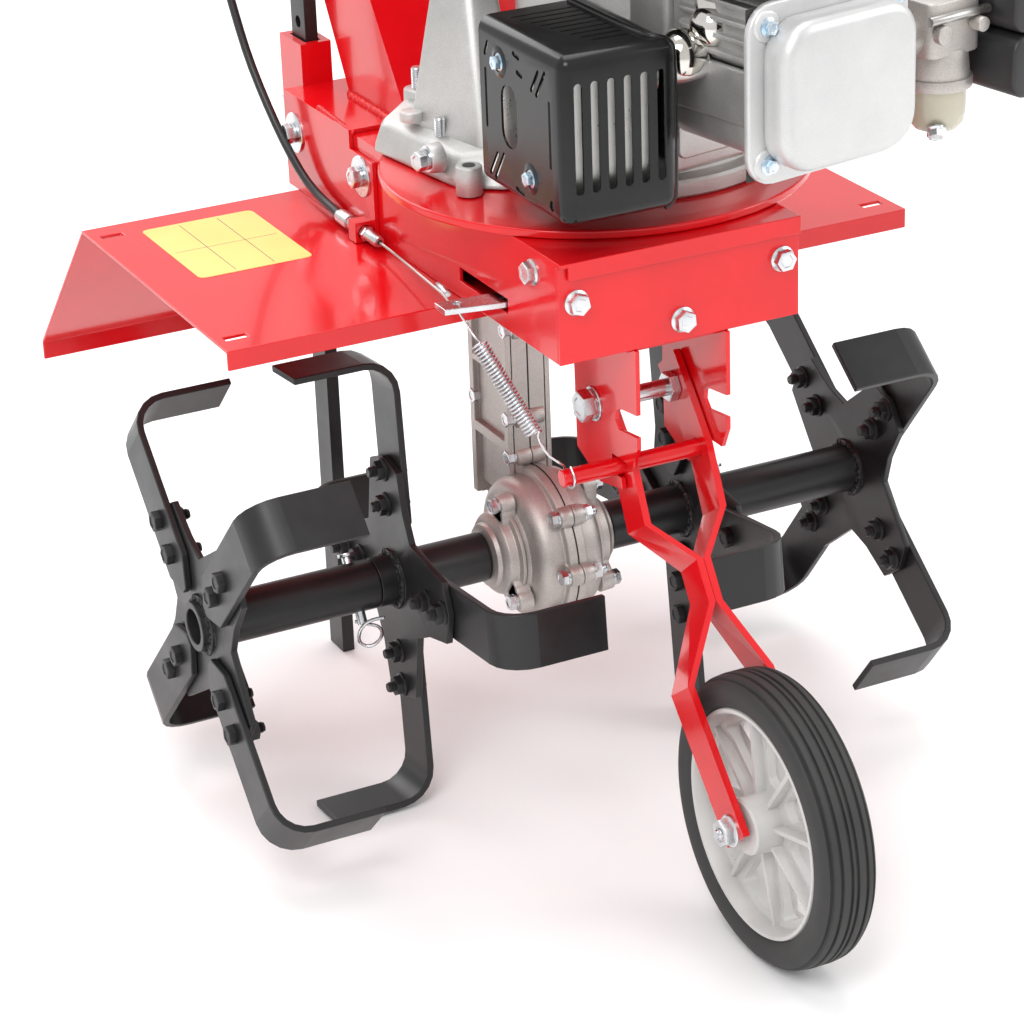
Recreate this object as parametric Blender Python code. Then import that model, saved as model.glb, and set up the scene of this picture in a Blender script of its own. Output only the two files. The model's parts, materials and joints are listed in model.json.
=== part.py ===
"""Petrol rotary tiller: folded frame, vertical shaft engine, worm gearbox, four tine stars.

Dimensions in millimetres in the constants and calls, converted to metres when a mesh is made.
+Z up, front of the machine toward -Y, +X to the right of a viewer standing in front.
"""
import math

import bmesh
import bpy
from mathutils import Matrix, Vector

MM = 0.001
GAP = 0.3

# main stations
AXLE_Z = 169.13
TINE_R = 168.0
TINE_W = 40.0
TINE_T = 5.0
TUBE_R = 18.0
SHAFT_R = 12.5
STAR_OUT_X = 262.0
STAR_IN_X = 117.0
CASE_HX = 88.0
CASE_Y0 = -208.0
CASE_Y1 = 200.0
CASE_Z0 = 397.0
CASE_Z1 = 466.0
SHEET = 3.0
DECK_XY = (22.0, -55.0)
DECK_R = 147.0
DECK_Z0 = CASE_Z1 + GAP
DECK_Z1 = DECK_Z0 + 6.0
CRANK = (45.0, -62.0)
ENGINE_YAW = 10.0
CYL_Z = 571.0
WORM_Y = 46.0
FENDER_X = 260.0
FENDER_Z = 396.7
PIVOT = (-154.0, 340.0)
PIN = (-184.0, 306.0)
WHEEL = (-326.0, 100.0)
WHEEL_R = 100.0
IDLER_PIVOT = (-30.0, -140.0)
IDLER_XY = (-50.0, -42.0)
TONGUE = (-116.0, -119.0)
TONGUE_Z = 414.0
STAKE_XY = (-64.0, 234.0)

for old in list(bpy.data.objects):
    bpy.data.objects.remove(old, do_unlink=True)

FINISH = {
    "red": ((0.62, 0.02, 0.02), 0.0, 0.25),
    "black": ((0.02, 0.02, 0.02), 0.3, 0.4),
    "guard": ((0.015, 0.015, 0.015), 0.3, 0.35),
    "cast": ((0.55, 0.54, 0.52), 0.8, 0.45),
    "zinc": ((0.75, 0.75, 0.74), 1.0, 0.3),
    "chrome": ((0.8, 0.8, 0.8), 1.0, 0.1),
    "rubber": ((0.02, 0.02, 0.02), 0.0, 0.8),
    "rim": ((0.6, 0.6, 0.6), 0.0, 0.5),
    "plastic": ((0.02, 0.02, 0.02), 0.0, 0.5),
}


def raw(verts, faces):
    """Closed mesh object from millimetre vertices, normals outward."""
    mesh = bpy.data.meshes.new("m")
    mesh.from_pydata([Vector(v) * MM for v in verts], [], faces)
    bm = bmesh.new()
    bm.from_mesh(mesh)
    bmesh.ops.recalc_face_normals(bm, faces=bm.faces)
    bm.to_mesh(mesh)
    bm.free()
    obj = bpy.data.objects.new("m", mesh)
    bpy.context.scene.collection.objects.link(obj)
    return obj


def box(x0, x1, y0, y1, z0, z1):
    v = [(x, y, z) for z in (z0, z1) for y in (y0, y1) for x in (x0, x1)]
    f = [(0, 1, 3, 2), (4, 6, 7, 5), (0, 4, 5, 1), (2, 3, 7, 6), (0, 2, 6, 4), (1, 5, 7, 3)]
    return raw(v, f)


def prism(poly, axis, a, b):
    """Extrude a 2-D polygon along axis x, y or z between a and b."""
    n = len(poly)
    put = {
        "x": lambda p, t: (t, p[0], p[1]),
        "y": lambda p, t: (p[0], t, p[1]),
        "z": lambda p, t: (p[0], p[1], t),
    }[axis]
    v = [put(p, a) for p in poly] + [put(p, b) for p in poly]
    f = [tuple(range(n)), tuple(range(2 * n - 1, n - 1, -1))]
    f += [(i, (i + 1) % n, n + (i + 1) % n, n + i) for i in range(n)]
    return raw(v, f)


def ring(cx, cy, r, n, start=0.0):
    out = []
    for i in range(n):
        t = start + 2 * math.pi * i / n
        out.append((cx + r * math.cos(t), cy + r * math.sin(t)))
    return out


def disc(axis, cx, cy, r, a, b, n=24):
    """Cylinder along an axis; cx, cy in the other two axes in order."""
    return prism(ring(cx, cy, r, n, -math.pi / 2), axis, a, b)


def sweep(points, r, n=12, closed_r=None):
    """Round bar through the points with parallel transported sections."""
    pts = [Vector(p) for p in points]
    tan = []
    for i in range(len(pts)):
        a = pts[max(i - 1, 0)]
        b = pts[min(i + 1, len(pts) - 1)]
        tan.append((b - a).normalized())
    ref = Vector((0, 0, 1))
    if abs(tan[0].dot(ref)) > 0.9:
        ref = Vector((1, 0, 0))
    side = tan[0].cross(ref).normalized()
    v = []
    for i, p in enumerate(pts):
        if i:
            turn = tan[i - 1].rotation_difference(tan[i])
            side = turn @ side
        up = tan[i].cross(side).normalized()
        for k in range(n):
            t = 2 * math.pi * k / n
            v.append(p + side * (r * math.cos(t)) + up * (r * math.sin(t)))
    f = [tuple(range(n)), tuple(range(len(v) - 1, len(v) - n - 1, -1))]
    for i in range(len(pts) - 1):
        for k in range(n):
            k2 = (k + 1) % n
            f.append((i * n + k, i * n + k2, (i + 1) * n + k2, (i + 1) * n + k))
    return raw(v, f)


def fillet(points, radius, steps=4):
    """Replace inner corners of a polyline by arcs of about the given radius."""
    pts = [Vector(p) for p in points]
    out = [pts[0]]
    for i in range(1, len(pts) - 1):
        a = (pts[i - 1] - pts[i]).normalized()
        b = (pts[i + 1] - pts[i]).normalized()
        room = min((pts[i - 1] - pts[i]).length, (pts[i + 1] - pts[i]).length) * 0.48
        d = min(radius, room)
        p0 = pts[i] + a * d
        p2 = pts[i] + b * d
        for k in range(steps + 1):
            t = k / steps
            out.append(p0 * (1 - t) ** 2 + pts[i] * (2 * t * (1 - t)) + p2 * t ** 2)
    out.append(pts[-1])
    return out


def combine(obj, other, kind):
    mod = obj.modifiers.new("b", "BOOLEAN")
    mod.operation = kind
    mod.solver = "EXACT"
    mod.object = other
    bpy.context.view_layer.update()
    graph = bpy.context.evaluated_depsgraph_get()
    done = bpy.data.meshes.new_from_object(obj.evaluated_get(graph))
    obj.modifiers.clear()
    obj.data = done
    bpy.data.objects.remove(other, do_unlink=True)
    return obj


def cut(obj, *others):
    for other in others:
        combine(obj, other, "DIFFERENCE")
    return obj


def join(obj, *others):
    for other in others:
        combine(obj, other, "UNION")
    return obj


def turn(obj, matrix):
    obj.data.transform(matrix)
    return obj


def node(name, obj, finish, origin=(0, 0, 0), smooth=False):
    """Name the piece, weld stray vertices, place its origin and give it a material."""
    bm = bmesh.new()
    bm.from_mesh(obj.data)
    bmesh.ops.remove_doubles(bm, verts=bm.verts, dist=1e-6)
    bmesh.ops.dissolve_limit(bm, angle_limit=0.002, verts=bm.verts, edges=bm.edges)
    bmesh.ops.triangulate(bm, faces=[f for f in bm.faces if len(f.verts) > 4])
    bmesh.ops.recalc_face_normals(bm, faces=bm.faces)
    bm.to_mesh(obj.data)
    bm.free()
    at = Vector(origin) * MM
    obj.data.transform(Matrix.Translation(-at))
    obj.location = at
    obj.name = name
    obj.data.name = name
    colour, metal, rough = FINISH[finish]
    mat = bpy.data.materials.new(name)
    mat.use_nodes = True
    bsdf = mat.node_tree.nodes["Principled BSDF"]
    bsdf.inputs["Base Color"].default_value = (*colour, 1)
    bsdf.inputs["Metallic"].default_value = metal
    bsdf.inputs["Roughness"].default_value = rough
    obj.data.materials.clear()
    obj.data.materials.append(mat)
    for poly in obj.data.polygons:
        poly.use_smooth = smooth
    return obj


# ---------------------------------------------------------------- frame
# belt case: folded sheet, open at the front, closed by the bolted front plate
case = box(-CASE_HX, CASE_HX, CASE_Y0, CASE_Y1, CASE_Z0, CASE_Z1)
cut(case, box(-CASE_HX + SHEET, CASE_HX - SHEET, CASE_Y0 - 5, CASE_Y1 - SHEET,
              CASE_Z0 + SHEET, CASE_Z1 - SHEET))
cut(case, box(-CASE_HX - 5, -CASE_HX + 8, -138, -66, 409, 419))
cut(case, disc("z", 0, WORM_Y, 16, CASE_Z0 - 5, CASE_Z0 + 8))
cut(case, disc("z", CRANK[0], CRANK[1], 42, CASE_Z1 - 8, CASE_Z1 + 8, 32))
join(case, box(-CASE_HX, CASE_HX, -214.3, CASE_Y0 + 1, CASE_Z1 - SHEET, CASE_Z1))
join(case, box(-CASE_HX + 6, CASE_HX, -214.3, -211.3, CASE_Z1 - 12, CASE_Z1 - 1))
node("belt_case", case, "red")

plate = box(-CASE_HX, CASE_HX, -211, CASE_Y0 - GAP, CASE_Z0, CASE_Z1 - SHEET - GAP)
for x, z in ((-75.5, 438), (75.5, 438), (1, 411)):
    cut(plate, disc("y", x, z, 4.5, -216, -200, 16))
node("front_plate", plate, "red")

deck = disc("z", DECK_XY[0], DECK_XY[1], DECK_R, DECK_Z0, DECK_Z1, 64)
cut(deck, disc("z", CRANK[0], CRANK[1], 42, DECK_Z0 - 5, DECK_Z1 + 5, 32))
cut(deck, box(-80, 80, 71.5, 120, DECK_Z0 - 5, DECK_Z1 + 5))
node("engine_deck", deck, "red")

# rear channel wraps over the case behind the engine and carries the stake sleeve
hx = CASE_HX + GAP + SHEET
top = DECK_Z0 + SHEET
chan = box(-hx, hx, 100, 216, CASE_Z0, top)
cut(chan, box(-hx + SHEET, hx - SHEET, 90, 212, CASE_Z0 - 5, top - SHEET))
wing = box(-hx, -hx + SHEET, 62, 101, CASE_Z0, CASE_Z1 - 10)
wing2 = box(hx - SHEET, hx, 62, 101, CASE_Z0, CASE_Z1 - 10)
join(chan, wing, wing2)
sx, sy = STAKE_XY
sleeve = box(sx - 12, sx + 12, 215, sy + 20, 398, 500)
cut(sleeve, box(sx - 6.5, sx + 6.5, sy - 14, sy + 14, 390, 510))
join(chan, sleeve)
cut(chan, disc("x", sy, 452, 4.5, sx - 20, sx + 20, 16))
join(chan, box(-104, -hx + 1, 68, 80, 397.3, 412))
cut(chan, disc("y", -96.5, 404, 5.6, 60, 90, 16))
node("rear_channel", chan, "red")

# handlebar column: box section leaning back
side = [(72, top + GAP), (176, top + GAP), (320, 708), (246, 708)]
column = prism(side, "x", -56, 56)
inner = [(76, top - 6), (172, top - 6), (322, 716), (251, 716)]
cut(column, prism(inner, "x", -52, 52))
node("handlebar_column", column, "red")


def fender(sign, name):
    """Folded wing: flat top, front lip, sloping rear panel with its own lip."""
    t = 2.5
    z = FENDER_Z
    prof = [
        (-74, z - 14), (-74, z), (200, z), (319, z - 124), (319, z - 139),
        (316.5, z - 139), (316.5, z - 125.2), (199, z - t), (-71.5, z - t), (-71.5, z - 14),
    ]
    a, b = sorted((sign * FENDER_X, sign * 36))
    wing = prism(prof, "x", a, b)
    cx = sign * 245
    for y in (-52, 178):
        slot = box(cx - 8, cx + 8, y - 3.5, y + 3.5, z - 10, z + 5)
        cut(wing, slot)
    a, b = sorted((sign * 30, sign * 78))
    cut(wing, box(a, b, 203, 330, 230, 410))
    node(name, wing, "red")


fender(-1, "fender_left")
fender(1, "fender_right")

# wheel bracket: bent plate under the case, two notched cheeks
cheek = [
    (-126, 396.5), (-213, 396.5), (-213, 352), (-190, 349), (-184, 345), (-183, 339),
    (-188, 333.5), (-213, 336.5), (-213, 328), (-206, 313), (-178, 313), (-177, 299.4),
    (-190, 299.4), (-192, 292), (-160, 286), (-128, 300),
]
left = prism(cheek, "x", -35, -32)
right = prism(cheek, "x", 32, 35)
bracket = join(left, right, box(-35, 35, -205, -126, 393.5, 396.5))
cut(bracket, disc("x", PIVOT[0], PIVOT[1], 6.3, -50, 50, 20))
node("wheel_bracket", bracket, "red")

# ---------------------------------------------------------------- gearbox
def half(sign, name):
    x0, x1 = (-28, -GAP / 2) if sign < 0 else (GAP / 2, 28)
    leg_x = (-17.5, -GAP / 2) if sign < 0 else (GAP / 2, 17.5)
    leg = box(leg_x[0], leg_x[1], 14, 76, 190, 390)
    drum = disc("x", 0, AXLE_Z, 58, x0, x1, 40)
    boss = disc("x", 0, AXLE_Z, 34, -48 if sign < 0 else 27, -27 if sign < 0 else 48, 28)
    flange = box(-32 if sign < 0 else GAP / 2, -GAP / 2 if sign < 0 else 32, 6, 84, 384, 396.7)
    shell = join(drum, leg, boss, flange)
    cut(shell, disc("x", 0, AXLE_Z, 42, -18, 18, 32))
    cut(shell, disc("x", 0, AXLE_Z, 13, -60, 60, 24))
    cut(shell, disc("z", 0, WORM_Y, 11, 140, 410, 20))
    node(name, shell, "cast")


half(-1, "gearbox_left")
half(1, "gearbox_right")

# ---------------------------------------------------------------- tines
shaft = disc("x", 0, AXLE_Z, SHAFT_R, -215, 215, 24)
wheel = disc("x", 0, AXLE_Z, 36, -12, 12, 32)
node("tine_axle", join(shaft, wheel), "zinc", (0, 0, AXLE_Z), True)


def star_outline(phase):
    """Four lobes with hollow flanks, as drawn round the axle in the YZ plane."""
    out = []
    for k in range(4):
        base = phase + k * math.pi / 2
        for r, off in ((88, -15), (92, 0), (88, 15), (62, 26), (50, 45)):
            t = base + math.radians(off)
            out.append((r * math.cos(t), AXLE_Z + r * math.sin(t)))
    return out


def blade(name, x, side, phase, bend):
    """Strip bolted flat on the star, bent along the axle; side is the face it lies on."""
    t = TINE_T
    r1 = TINE_R
    rb = 26.0
    inner = []
    outer = []
    for k in range(6):
        a = math.pi / 2 * k / 5
        outer.append((bend * (rb - rb * math.cos(a)), r1 - rb + rb * math.sin(a)))
        q = rb - t
        inner.append((bend * (rb - q * math.cos(a)), r1 - rb + q * math.sin(a)))
    prof = [(0, 27)] + outer + [(bend * 78, r1), (bend * 78, r1 - t)] + inner[::-1] + [(bend * t, 27)]
    obj = prism(prof, "y", -TINE_W / 2, TINE_W / 2)
    face = x + side * (2.5 + GAP)
    if side != bend:
        spot = face
        shift = Matrix.Translation(Vector((spot - (bend * t if side == -bend else 0), 0, 0)) * MM)
    else:
        shift = Matrix.Translation(Vector((face, 0, 0)) * MM)
    spin = Matrix.Rotation(phase - math.pi / 2, 4, "X")
    lift = Matrix.Translation(Vector((0, 0, AXLE_Z)) * MM)
    turn(obj, lift @ spin @ shift)
    node(name, obj, "black", (0, 0, AXLE_Z))


def hub(name, x, tube, phase, side, bends):
    """Hub tube with its welded star plate, then the four bolted blades."""
    plate_obj = prism(star_outline(phase), "x", x - 2.5, x + 2.5)
    pipe = disc("x", 0, AXLE_Z, TUBE_R, tube[0], tube[1], 24)
    weld = disc("x", 0, AXLE_Z, TUBE_R + 4, x - 5, x + 5, 24)
    body = join(plate_obj, pipe, weld)
    cut(body, disc("x", 0, AXLE_Z, SHAFT_R + GAP, tube[0] - 5, tube[1] + 5, 24))
    node(name, body, "black", (0, 0, AXLE_Z))
    for k in range(4):
        blade(name.replace("hub", "blade") + "_" + str(k + 1), x, side,
              phase + k * math.pi / 2, bends[k])


deg = math.radians
hub("hub_outer_left", -STAR_OUT_X, (-272, -136), deg(45), -1, (1, 1, 1, 1))
hub("hub_inner_left", -STAR_IN_X, (-135.5, -50), deg(-5), 1, (1, -1, 1, -1))
hub("hub_inner_right", STAR_IN_X, (50, 135.5), deg(-7), -1, (-1, 1, -1, 1))
hub("hub_outer_right", STAR_OUT_X, (136, 272), deg(38), 1, (-1, -1, -1, -1))

# ---------------------------------------------------------------- transport wheel
bolt = disc("x", PIVOT[0], PIVOT[1], 6, -36, 42, 20)
head = prism(ring(PIVOT[0], PIVOT[1], 10.8, 6), "x", -47, -35.3)
nut = prism(ring(PIVOT[0], PIVOT[1], 10.8, 6), "x", 35.3, 45)
node("pivot_bolt", join(bolt, head, nut), "zinc")

node("cross_pin", disc("x", PIN[0], PIN[1], 6, -76, 34, 20), "red",
     (0, PIVOT[0], PIVOT[1]), True)


def arm(sign, name):
    """Flat bar cranked in from the pivot, met at the middle and out again to the axle."""
    x_up, x_mid, x_low = 28.5, 2.7, 30.0
    line = [
        (-142, 356), (-184, 306), (-202, 266), (-226, 243), (-240, 221), (-260, 172), (-332, 94),
    ]
    xs = [x_up, x_up, x_up, x_mid, x_mid, x_low, x_low]
    w, t = 14.0, 5.0
    v = []
    for i, (y, z) in enumerate(line):
        a = line[max(i - 1, 0)]
        b = line[min(i + 1, len(line) - 1)]
        d = Vector((b[0] - a[0], b[1] - a[1])).normalized()
        nrm = (-d.y, d.x)
        for dx, s in ((-t / 2, -1), (t / 2, -1), (t / 2, 1), (-t / 2, 1)):
            v.append((sign * xs[i] + dx, y + nrm[0] * w * s, z + nrm[1] * w * s))
    f = [(0, 1, 2, 3), tuple(range(len(v) - 1, len(v) - 5, -1))]
    for i in range(len(line) - 1):
        for k in range(4):
            k2 = (k + 1) % 4
            f.append((4 * i + k, 4 * i + k2, 4 * i + 4 + k2, 4 * i + 4 + k))
    obj = raw(v, f)
    a, b = sorted((sign * 20, sign * 40))
    cut(obj, disc("x", PIVOT[0], PIVOT[1], 6.3, a, b, 20))
    cut(obj, disc("x", PIN[0], PIN[1], 6.3, a, b, 20))
    cut(obj, disc("x", WHEEL[0], WHEEL[1], 5.3, a, b, 16))
    node(name, obj, "red", (0, PIVOT[0], PIVOT[1]))


arm(-1, "fork_arm_left")
arm(1, "fork_arm_right")

axle = disc("x", WHEEL[0], WHEEL[1], 5, -36, 41, 16)
head = prism(ring(WHEEL[0], WHEEL[1], 9.5, 6), "x", -40, -32.9)
nut = prism(ring(WHEEL[0], WHEEL[1], 9.5, 6), "x", 32.9, 41)
node("wheel_axle", join(axle, head, nut), "zinc", (0, PIVOT[0], PIVOT[1]))

rim = disc("x", WHEEL[0], WHEEL[1], 78.5, -18, 18, 48)
cut(rim, disc("x", WHEEL[0], WHEEL[1], 73, -20, 20, 48))
web = disc("x", WHEEL[0], WHEEL[1], 74.5, -3, 3, 48)
for k in range(8):
    a0 = deg(45 * k - 12)
    a1 = deg(45 * k + 12)
    quad = []
    for r, a in ((30, a0), (64, a0), (64, a1), (30, a1)):
        quad.append((WHEEL[0] + r * math.cos(a), WHEEL[1] + r * math.sin(a)))
    cut(web, prism(quad, "x", -8, 8))
nave = disc("x", WHEEL[0], WHEEL[1], 20, -24, 24, 32)
join(rim, web, nave)
cut(rim, disc("x", WHEEL[0], WHEEL[1], 5.4, -30, 30, 16))
node("wheel_rim", rim, "rim", (0, WHEEL[0], WHEEL[1]))

N = 56
tv = []
tread = [(79, -19), (92, -20), (98, -16), (100, -9), (100, 9), (98, 16), (92, 20), (79, 19)]
for k in range(N):
    t = -math.pi / 2 + 2 * math.pi * k / N
    for r, x in tread:
        tv.append((x, WHEEL[0] + r * math.cos(t), WHEEL[1] + r * math.sin(t)))
tf = []
M = len(tread)
for k in range(N):
    k2 = (k + 1) % N
    for j in range(M):
        j2 = (j + 1) % M
        tf.append((k * M + j, k * M + j2, k2 * M + j2, k2 * M + j))
node("tyre", raw(tv, tf), "rubber", (0, WHEEL[0], WHEEL[1]), True)

# ---------------------------------------------------------------- engine
YAW = Matrix.Translation(Vector((CRANK[0], CRANK[1], 0)) * MM) @ Matrix.Rotation(
    deg(ENGINE_YAW), 4, "Z")
Z0 = DECK_Z1 + GAP
crank = disc("z", 0, 0, 100, Z0, Z0 + 16, 48)
join(crank, disc("z", 0, 0, 74, Z0 + 15, 628, 40))
join(crank, box(-40, 40, -96, -40, 520, 622))
join(crank, box(-150, -60, -22, 62, Z0, Z0 + 34))
cut(crank, disc("z", 0, 0, 13, Z0 - 5, 500, 20))
turn(crank, YAW)
cut(crank, box(-105, 4, -240, -103, 489.4, 640))
node("crankcase", crank, "cast")

head = box(-40, 40, -196, -96.3, 517, 625)
for k in range(5):
    y = -110 - 14 * k
    cut(head, box(-60, 60, y - 8, y, 500, 527))
    if k > 1:
        cut(head, box(30, 60, y - 8, y, 500, 560))
        cut(head, box(-60, -30, y - 8, y, 500, 560))
node("cylinder_head", turn(head, YAW), "cast")


def rounded(cx, cy, hw, hh, r, n=5):
    out = []
    for qx, qy, a0 in ((1, 1, 0), (-1, 1, 90), (-1, -1, 180), (1, -1, 270)):
        for k in range(n):
            a = deg(a0 + 90 * k / (n - 1))
            out.append((cx + qx * (hw - r) + r * math.cos(a), cy + qy * (hh - r) + r * math.sin(a)))
    return out


cover = prism(rounded(0, CYL_Z, 66, 58, 20), "y", -202, -196.3)
join(cover, prism(rounded(0, CYL_Z, 56, 48, 24), "y", -226, -201))
node("valve_cover", turn(cover, YAW), "cast")

# blower housing with the recoil cover on top, over the flywheel
shroud = disc("z", 0, 0, 112, 630, 700, 48)
join(shroud, box(-60, 60, -190, -60, 630, 680))
join(shroud, disc("z", 0, 0, 66, 699, 724, 36))
node("blower_housing", turn(shroud, YAW), "plastic")

tank = prism(rounded(40, 152, 78, 36, 18), "z", 640, 716)
join(tank, disc("z", 70, 152, 22, 715, 732, 24))
node("fuel_tank", turn(tank, YAW), "plastic")

carb = box(116, 156, -172, -138, 536, 586)
join(carb, disc("x", -155, 560, 13, 40.3, 118, 20))
join(carb, disc("z", 136, -155, 17, 496, 537, 24))
node("carburettor", turn(carb, YAW), "cast")

cleaner = prism(rounded(195.6, -150, 33.5, 50, 12), "z", 520, 606)
join(cleaner, disc("x", -155, 562, 12, 156.4, 164, 20))
node("air_filter", turn(cleaner, YAW), "plastic")

# muffler and its guard stand square to the frame, left of the cylinder
body = prism(rounded(-46, 547, 32, 42, 14), "y", -208, -120)
yaw = deg(ENGINE_YAW)
port = YAW @ (Vector((-40.6, -125, 0)) * MM) / MM
out = Vector((-math.cos(yaw), -math.sin(yaw), 0))
port.z = 574
pipe = sweep(fillet([port, port + out * 12, Vector((-4, -184, 570)), Vector((-22, -180, 568))],
                    8, 3), 11, 14)
node("muffler", join(body, pipe), "cast")
guard = prism(rounded(-46, 546.3, 41, 55.3, 10), "y", -222, -108)
cut(guard, prism(rounded(-46, 546.3, 38.5, 52.8, 8), "y", -219.5, -100))
for k in range(6):
    x = -74 + 11.4 * k
    cut(guard, box(x - 2.4, x + 2.4, -230, -215, 505, 588))
cut(guard, disc("x", -150, 548, 17, -100, -80, 24))
cut(guard, box(-13, 2, -206, -150, 548, 592))
node("muffler_guard", guard, "guard")

# ---------------------------------------------------------------- drive
def sheave(name, x, y, r, bore_z, finish_name):
    z0, z1 = 424.0, 440.0
    rings = [(r, z0), (r, z0 + 2), (r - 6, z0 + 6), (r - 6, z1 - 6), (r, z1 - 2), (r, z1)]
    n = 36
    v = []
    for rr, z in rings:
        v += [(px, py, z) for px, py in ring(x, y, rr, n)]
    f = [tuple(range(n)), tuple(range(len(v) - 1, len(v) - n - 1, -1))]
    for i in range(len(rings) - 1):
        for k in range(n):
            k2 = (k + 1) % n
            f.append((i * n + k, i * n + k2, (i + 1) * n + k2, (i + 1) * n + k))
    obj = raw(v, f)
    join(obj, disc("z", x, y, bore_z[2], bore_z[0], bore_z[1], 20))
    node(name, obj, finish_name, (x, y, z0), True)


sheave("driven_pulley", 0, WORM_Y, 56, (140, 452, 7.5), "cast")
sheave("engine_pulley", CRANK[0], CRANK[1], 30, (416, 498, 12), "cast")

c1 = Vector(CRANK)
c2 = Vector((0, WORM_Y))
ra, rb = 29.0, 55.0
d = c2 - c1
base = math.atan2(d.y, d.x)
phi = math.asin((rb - ra) / d.length)
loop_o, loop_i = [], []
for centre, r, a0, a1 in ((c1, ra, base + math.pi / 2 + phi, base + 3 * math.pi / 2 - phi),
                          (c2, rb, base - math.pi / 2 - phi, base + math.pi / 2 + phi)):
    for k in range(13):
        a = a0 + (a1 - a0) * k / 12
        e = Vector((math.cos(a), math.sin(a)))
        loop_o.append(tuple(centre + e * (r + 1.0)))
        loop_i.append(tuple(centre + e * (r - 4.2)))
m = len(loop_o)
v = []
for z in (430.2, 433.8):
    v += [(p[0], p[1], z) for p in loop_o]
    v += [(p[0], p[1], z) for p in loop_i]
f = []
for i in range(m):
    j = (i + 1) % m
    f += [(i, j, m + j, m + i), (2 * m + i, 3 * m + i, 3 * m + j, 2 * m + j)]
    f += [(i, 2 * m + i, 2 * m + j, j), (m + i, m + j, 3 * m + j, 3 * m + i)]
node("drive_belt", raw(v, f), "rubber")

px, py = IDLER_PIVOT
ix, iy = IDLER_XY
tx, ty = TONGUE
bell = [
    (px + 12, py - 8), (px + 12, py + 10), (ix + 12, iy + 10), (ix - 12, iy + 10),
    (px - 20, py + 22), (tx - 12, ty + 8), (tx - 12, ty - 8), (px - 2, py - 6),
]
lever = prism(bell, "z", TONGUE_Z - 2, TONGUE_Z + 2)
join(lever, disc("z", ix, iy, 6, TONGUE_Z, 424, 16), disc("z", ix, iy, 18, 423, 441, 28))
cut(lever, disc("z", px, py, 5.3, 400, 420, 16), disc("z", tx, ty, 3, 400, 420, 16))
node("idler_arm", lever, "zinc", (px, py, TONGUE_Z))

# ---------------------------------------------------------------- clutch cable and spring
cz = 404.0
route = [
    (-96.5, 42, cz), (-96.5, 110, cz), (-100, 200, 418), (-112, 250, 520), (-120, 290, 640),
    (-150, 420, 770), (-240, 660, 880), (-262, 740, 905),
]
cable = sweep(fillet(route, 60, 4), 3.2, 8)
join(cable, disc("y", -96.5, cz, 5.2, 44, 110, 16))
cut(cable, disc("y", -96.5, cz, 2.6, 30, 94, 12))
node("cable_sheath", cable, "plastic", (0, 0, 0), True)

wire = sweep(fillet([(-96.5, 78, cz), (-96.5, 30, cz), (-110, -90, 410), (tx, ty + 6.5, 410)],
                    20, 3), 1.0, 8)
node("clutch_wire", wire, "zinc", (0, 0, 0), True)

turns = []
p0 = Vector((-113, -124, 405))
p1 = Vector((-80.5, -176, 319))
axis = (p1 - p0).normalized()
s1 = axis.cross(Vector((1, 0, 0))).normalized()
s2 = axis.cross(s1)
coils = 9
for k in range(coils * 8 + 1):
    t = k / (coils * 8)
    a = 2 * math.pi * coils * t
    turns.append(p0.lerp(p1, 0.08 + 0.84 * t) + s1 * (5 * math.cos(a)) + s2 * (5 * math.sin(a)))
coil = sweep([p0] + turns + [p1], 1.1, 5)
node("return_spring", coil, "zinc", (0, 0, 0), True)

# ---------------------------------------------------------------- stake
bar = box(sx - 5, sx + 5, sy - 12.5, sy + 12.5, 0, 560)
for z in (392 + 60, 512, 330, 270):
    cut(bar, disc("x", sy, z, 4.5, sx - 20, sx + 20, 12))
node("depth_stake", bar, "black", (sx, sy, 452))
pin = disc("x", sy, 452, 4, sx - 18, sx + 18, 14)
join(pin, disc("x", sy, 452, 7, sx - 20, sx - 12.3, 14))
node("stake_pin", pin, "zinc")

# ---------------------------------------------------------------- handlebar
grip_a = Vector((-272, 800, 942))
grip_b = Vector((-286, 960, 986))
run = [grip_b, grip_a, Vector((-66, 372, 775)), Vector((-58, 284, 721.2)), Vector((58, 284, 721.2)),
       Vector((66, 372, 775)), Vector((272, 800, 942)), Vector((286, 960, 986))]
bar = sweep(fillet(run, 46, 3), 12.5, 12)
ends = [run[0] * 2 - run[1]] + run[1:-1] + [run[-1] * 2 - run[-2]]
cut(bar, sweep(fillet(ends, 46, 3), 10.3, 12))
node("handlebar", bar, "black", (0, 0, 0), True)


def sleeve_on(name, a, b, r_in, r_out, finish_name):
    outer = sweep([a, b], r_out, 20)
    e = (b - a).normalized()
    cut(outer, sweep([a - e * 5, b + e * 5], r_in, 20))
    node(name, outer, finish_name, (0, 0, 0), True)


e = (grip_b - grip_a).normalized()
sleeve_on("grip_left", grip_a + e * 52, grip_b + e * 3, 13.1, 17, "rubber")
a2, b2 = Vector((272, 800, 942)), Vector((286, 960, 986))
e2 = (b2 - a2).normalized()
sleeve_on("grip_right", a2 + e2 * 52, b2 + e2 * 3, 13.1, 17, "rubber")

down = Vector((1, 0, 0)).cross(e).normalized()
if down.z > 0:
    down = -down
knob = grip_a + e * 30 + down * 24
squeeze = sweep(fillet([knob, knob + e * 30 + down * 14, knob + e * 120 + down * 12], 10, 3), 4, 10)
node("clutch_lever", squeeze, "zinc", tuple(knob), True)

# the origin is at ground level under the middle of the whole machine
for obj in bpy.data.objects:
    obj.location.y -= 270.8 * MM
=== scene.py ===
"""A petrol rotary tiller: red folded frame, upright engine, worm gearbox, four bladed stars.

Lengths are in millimetres, measured from the tine axle, and become metres when a piece is made.
"""

import json
import math

import bmesh
import bpy
from mathutils import Matrix, Vector

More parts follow.
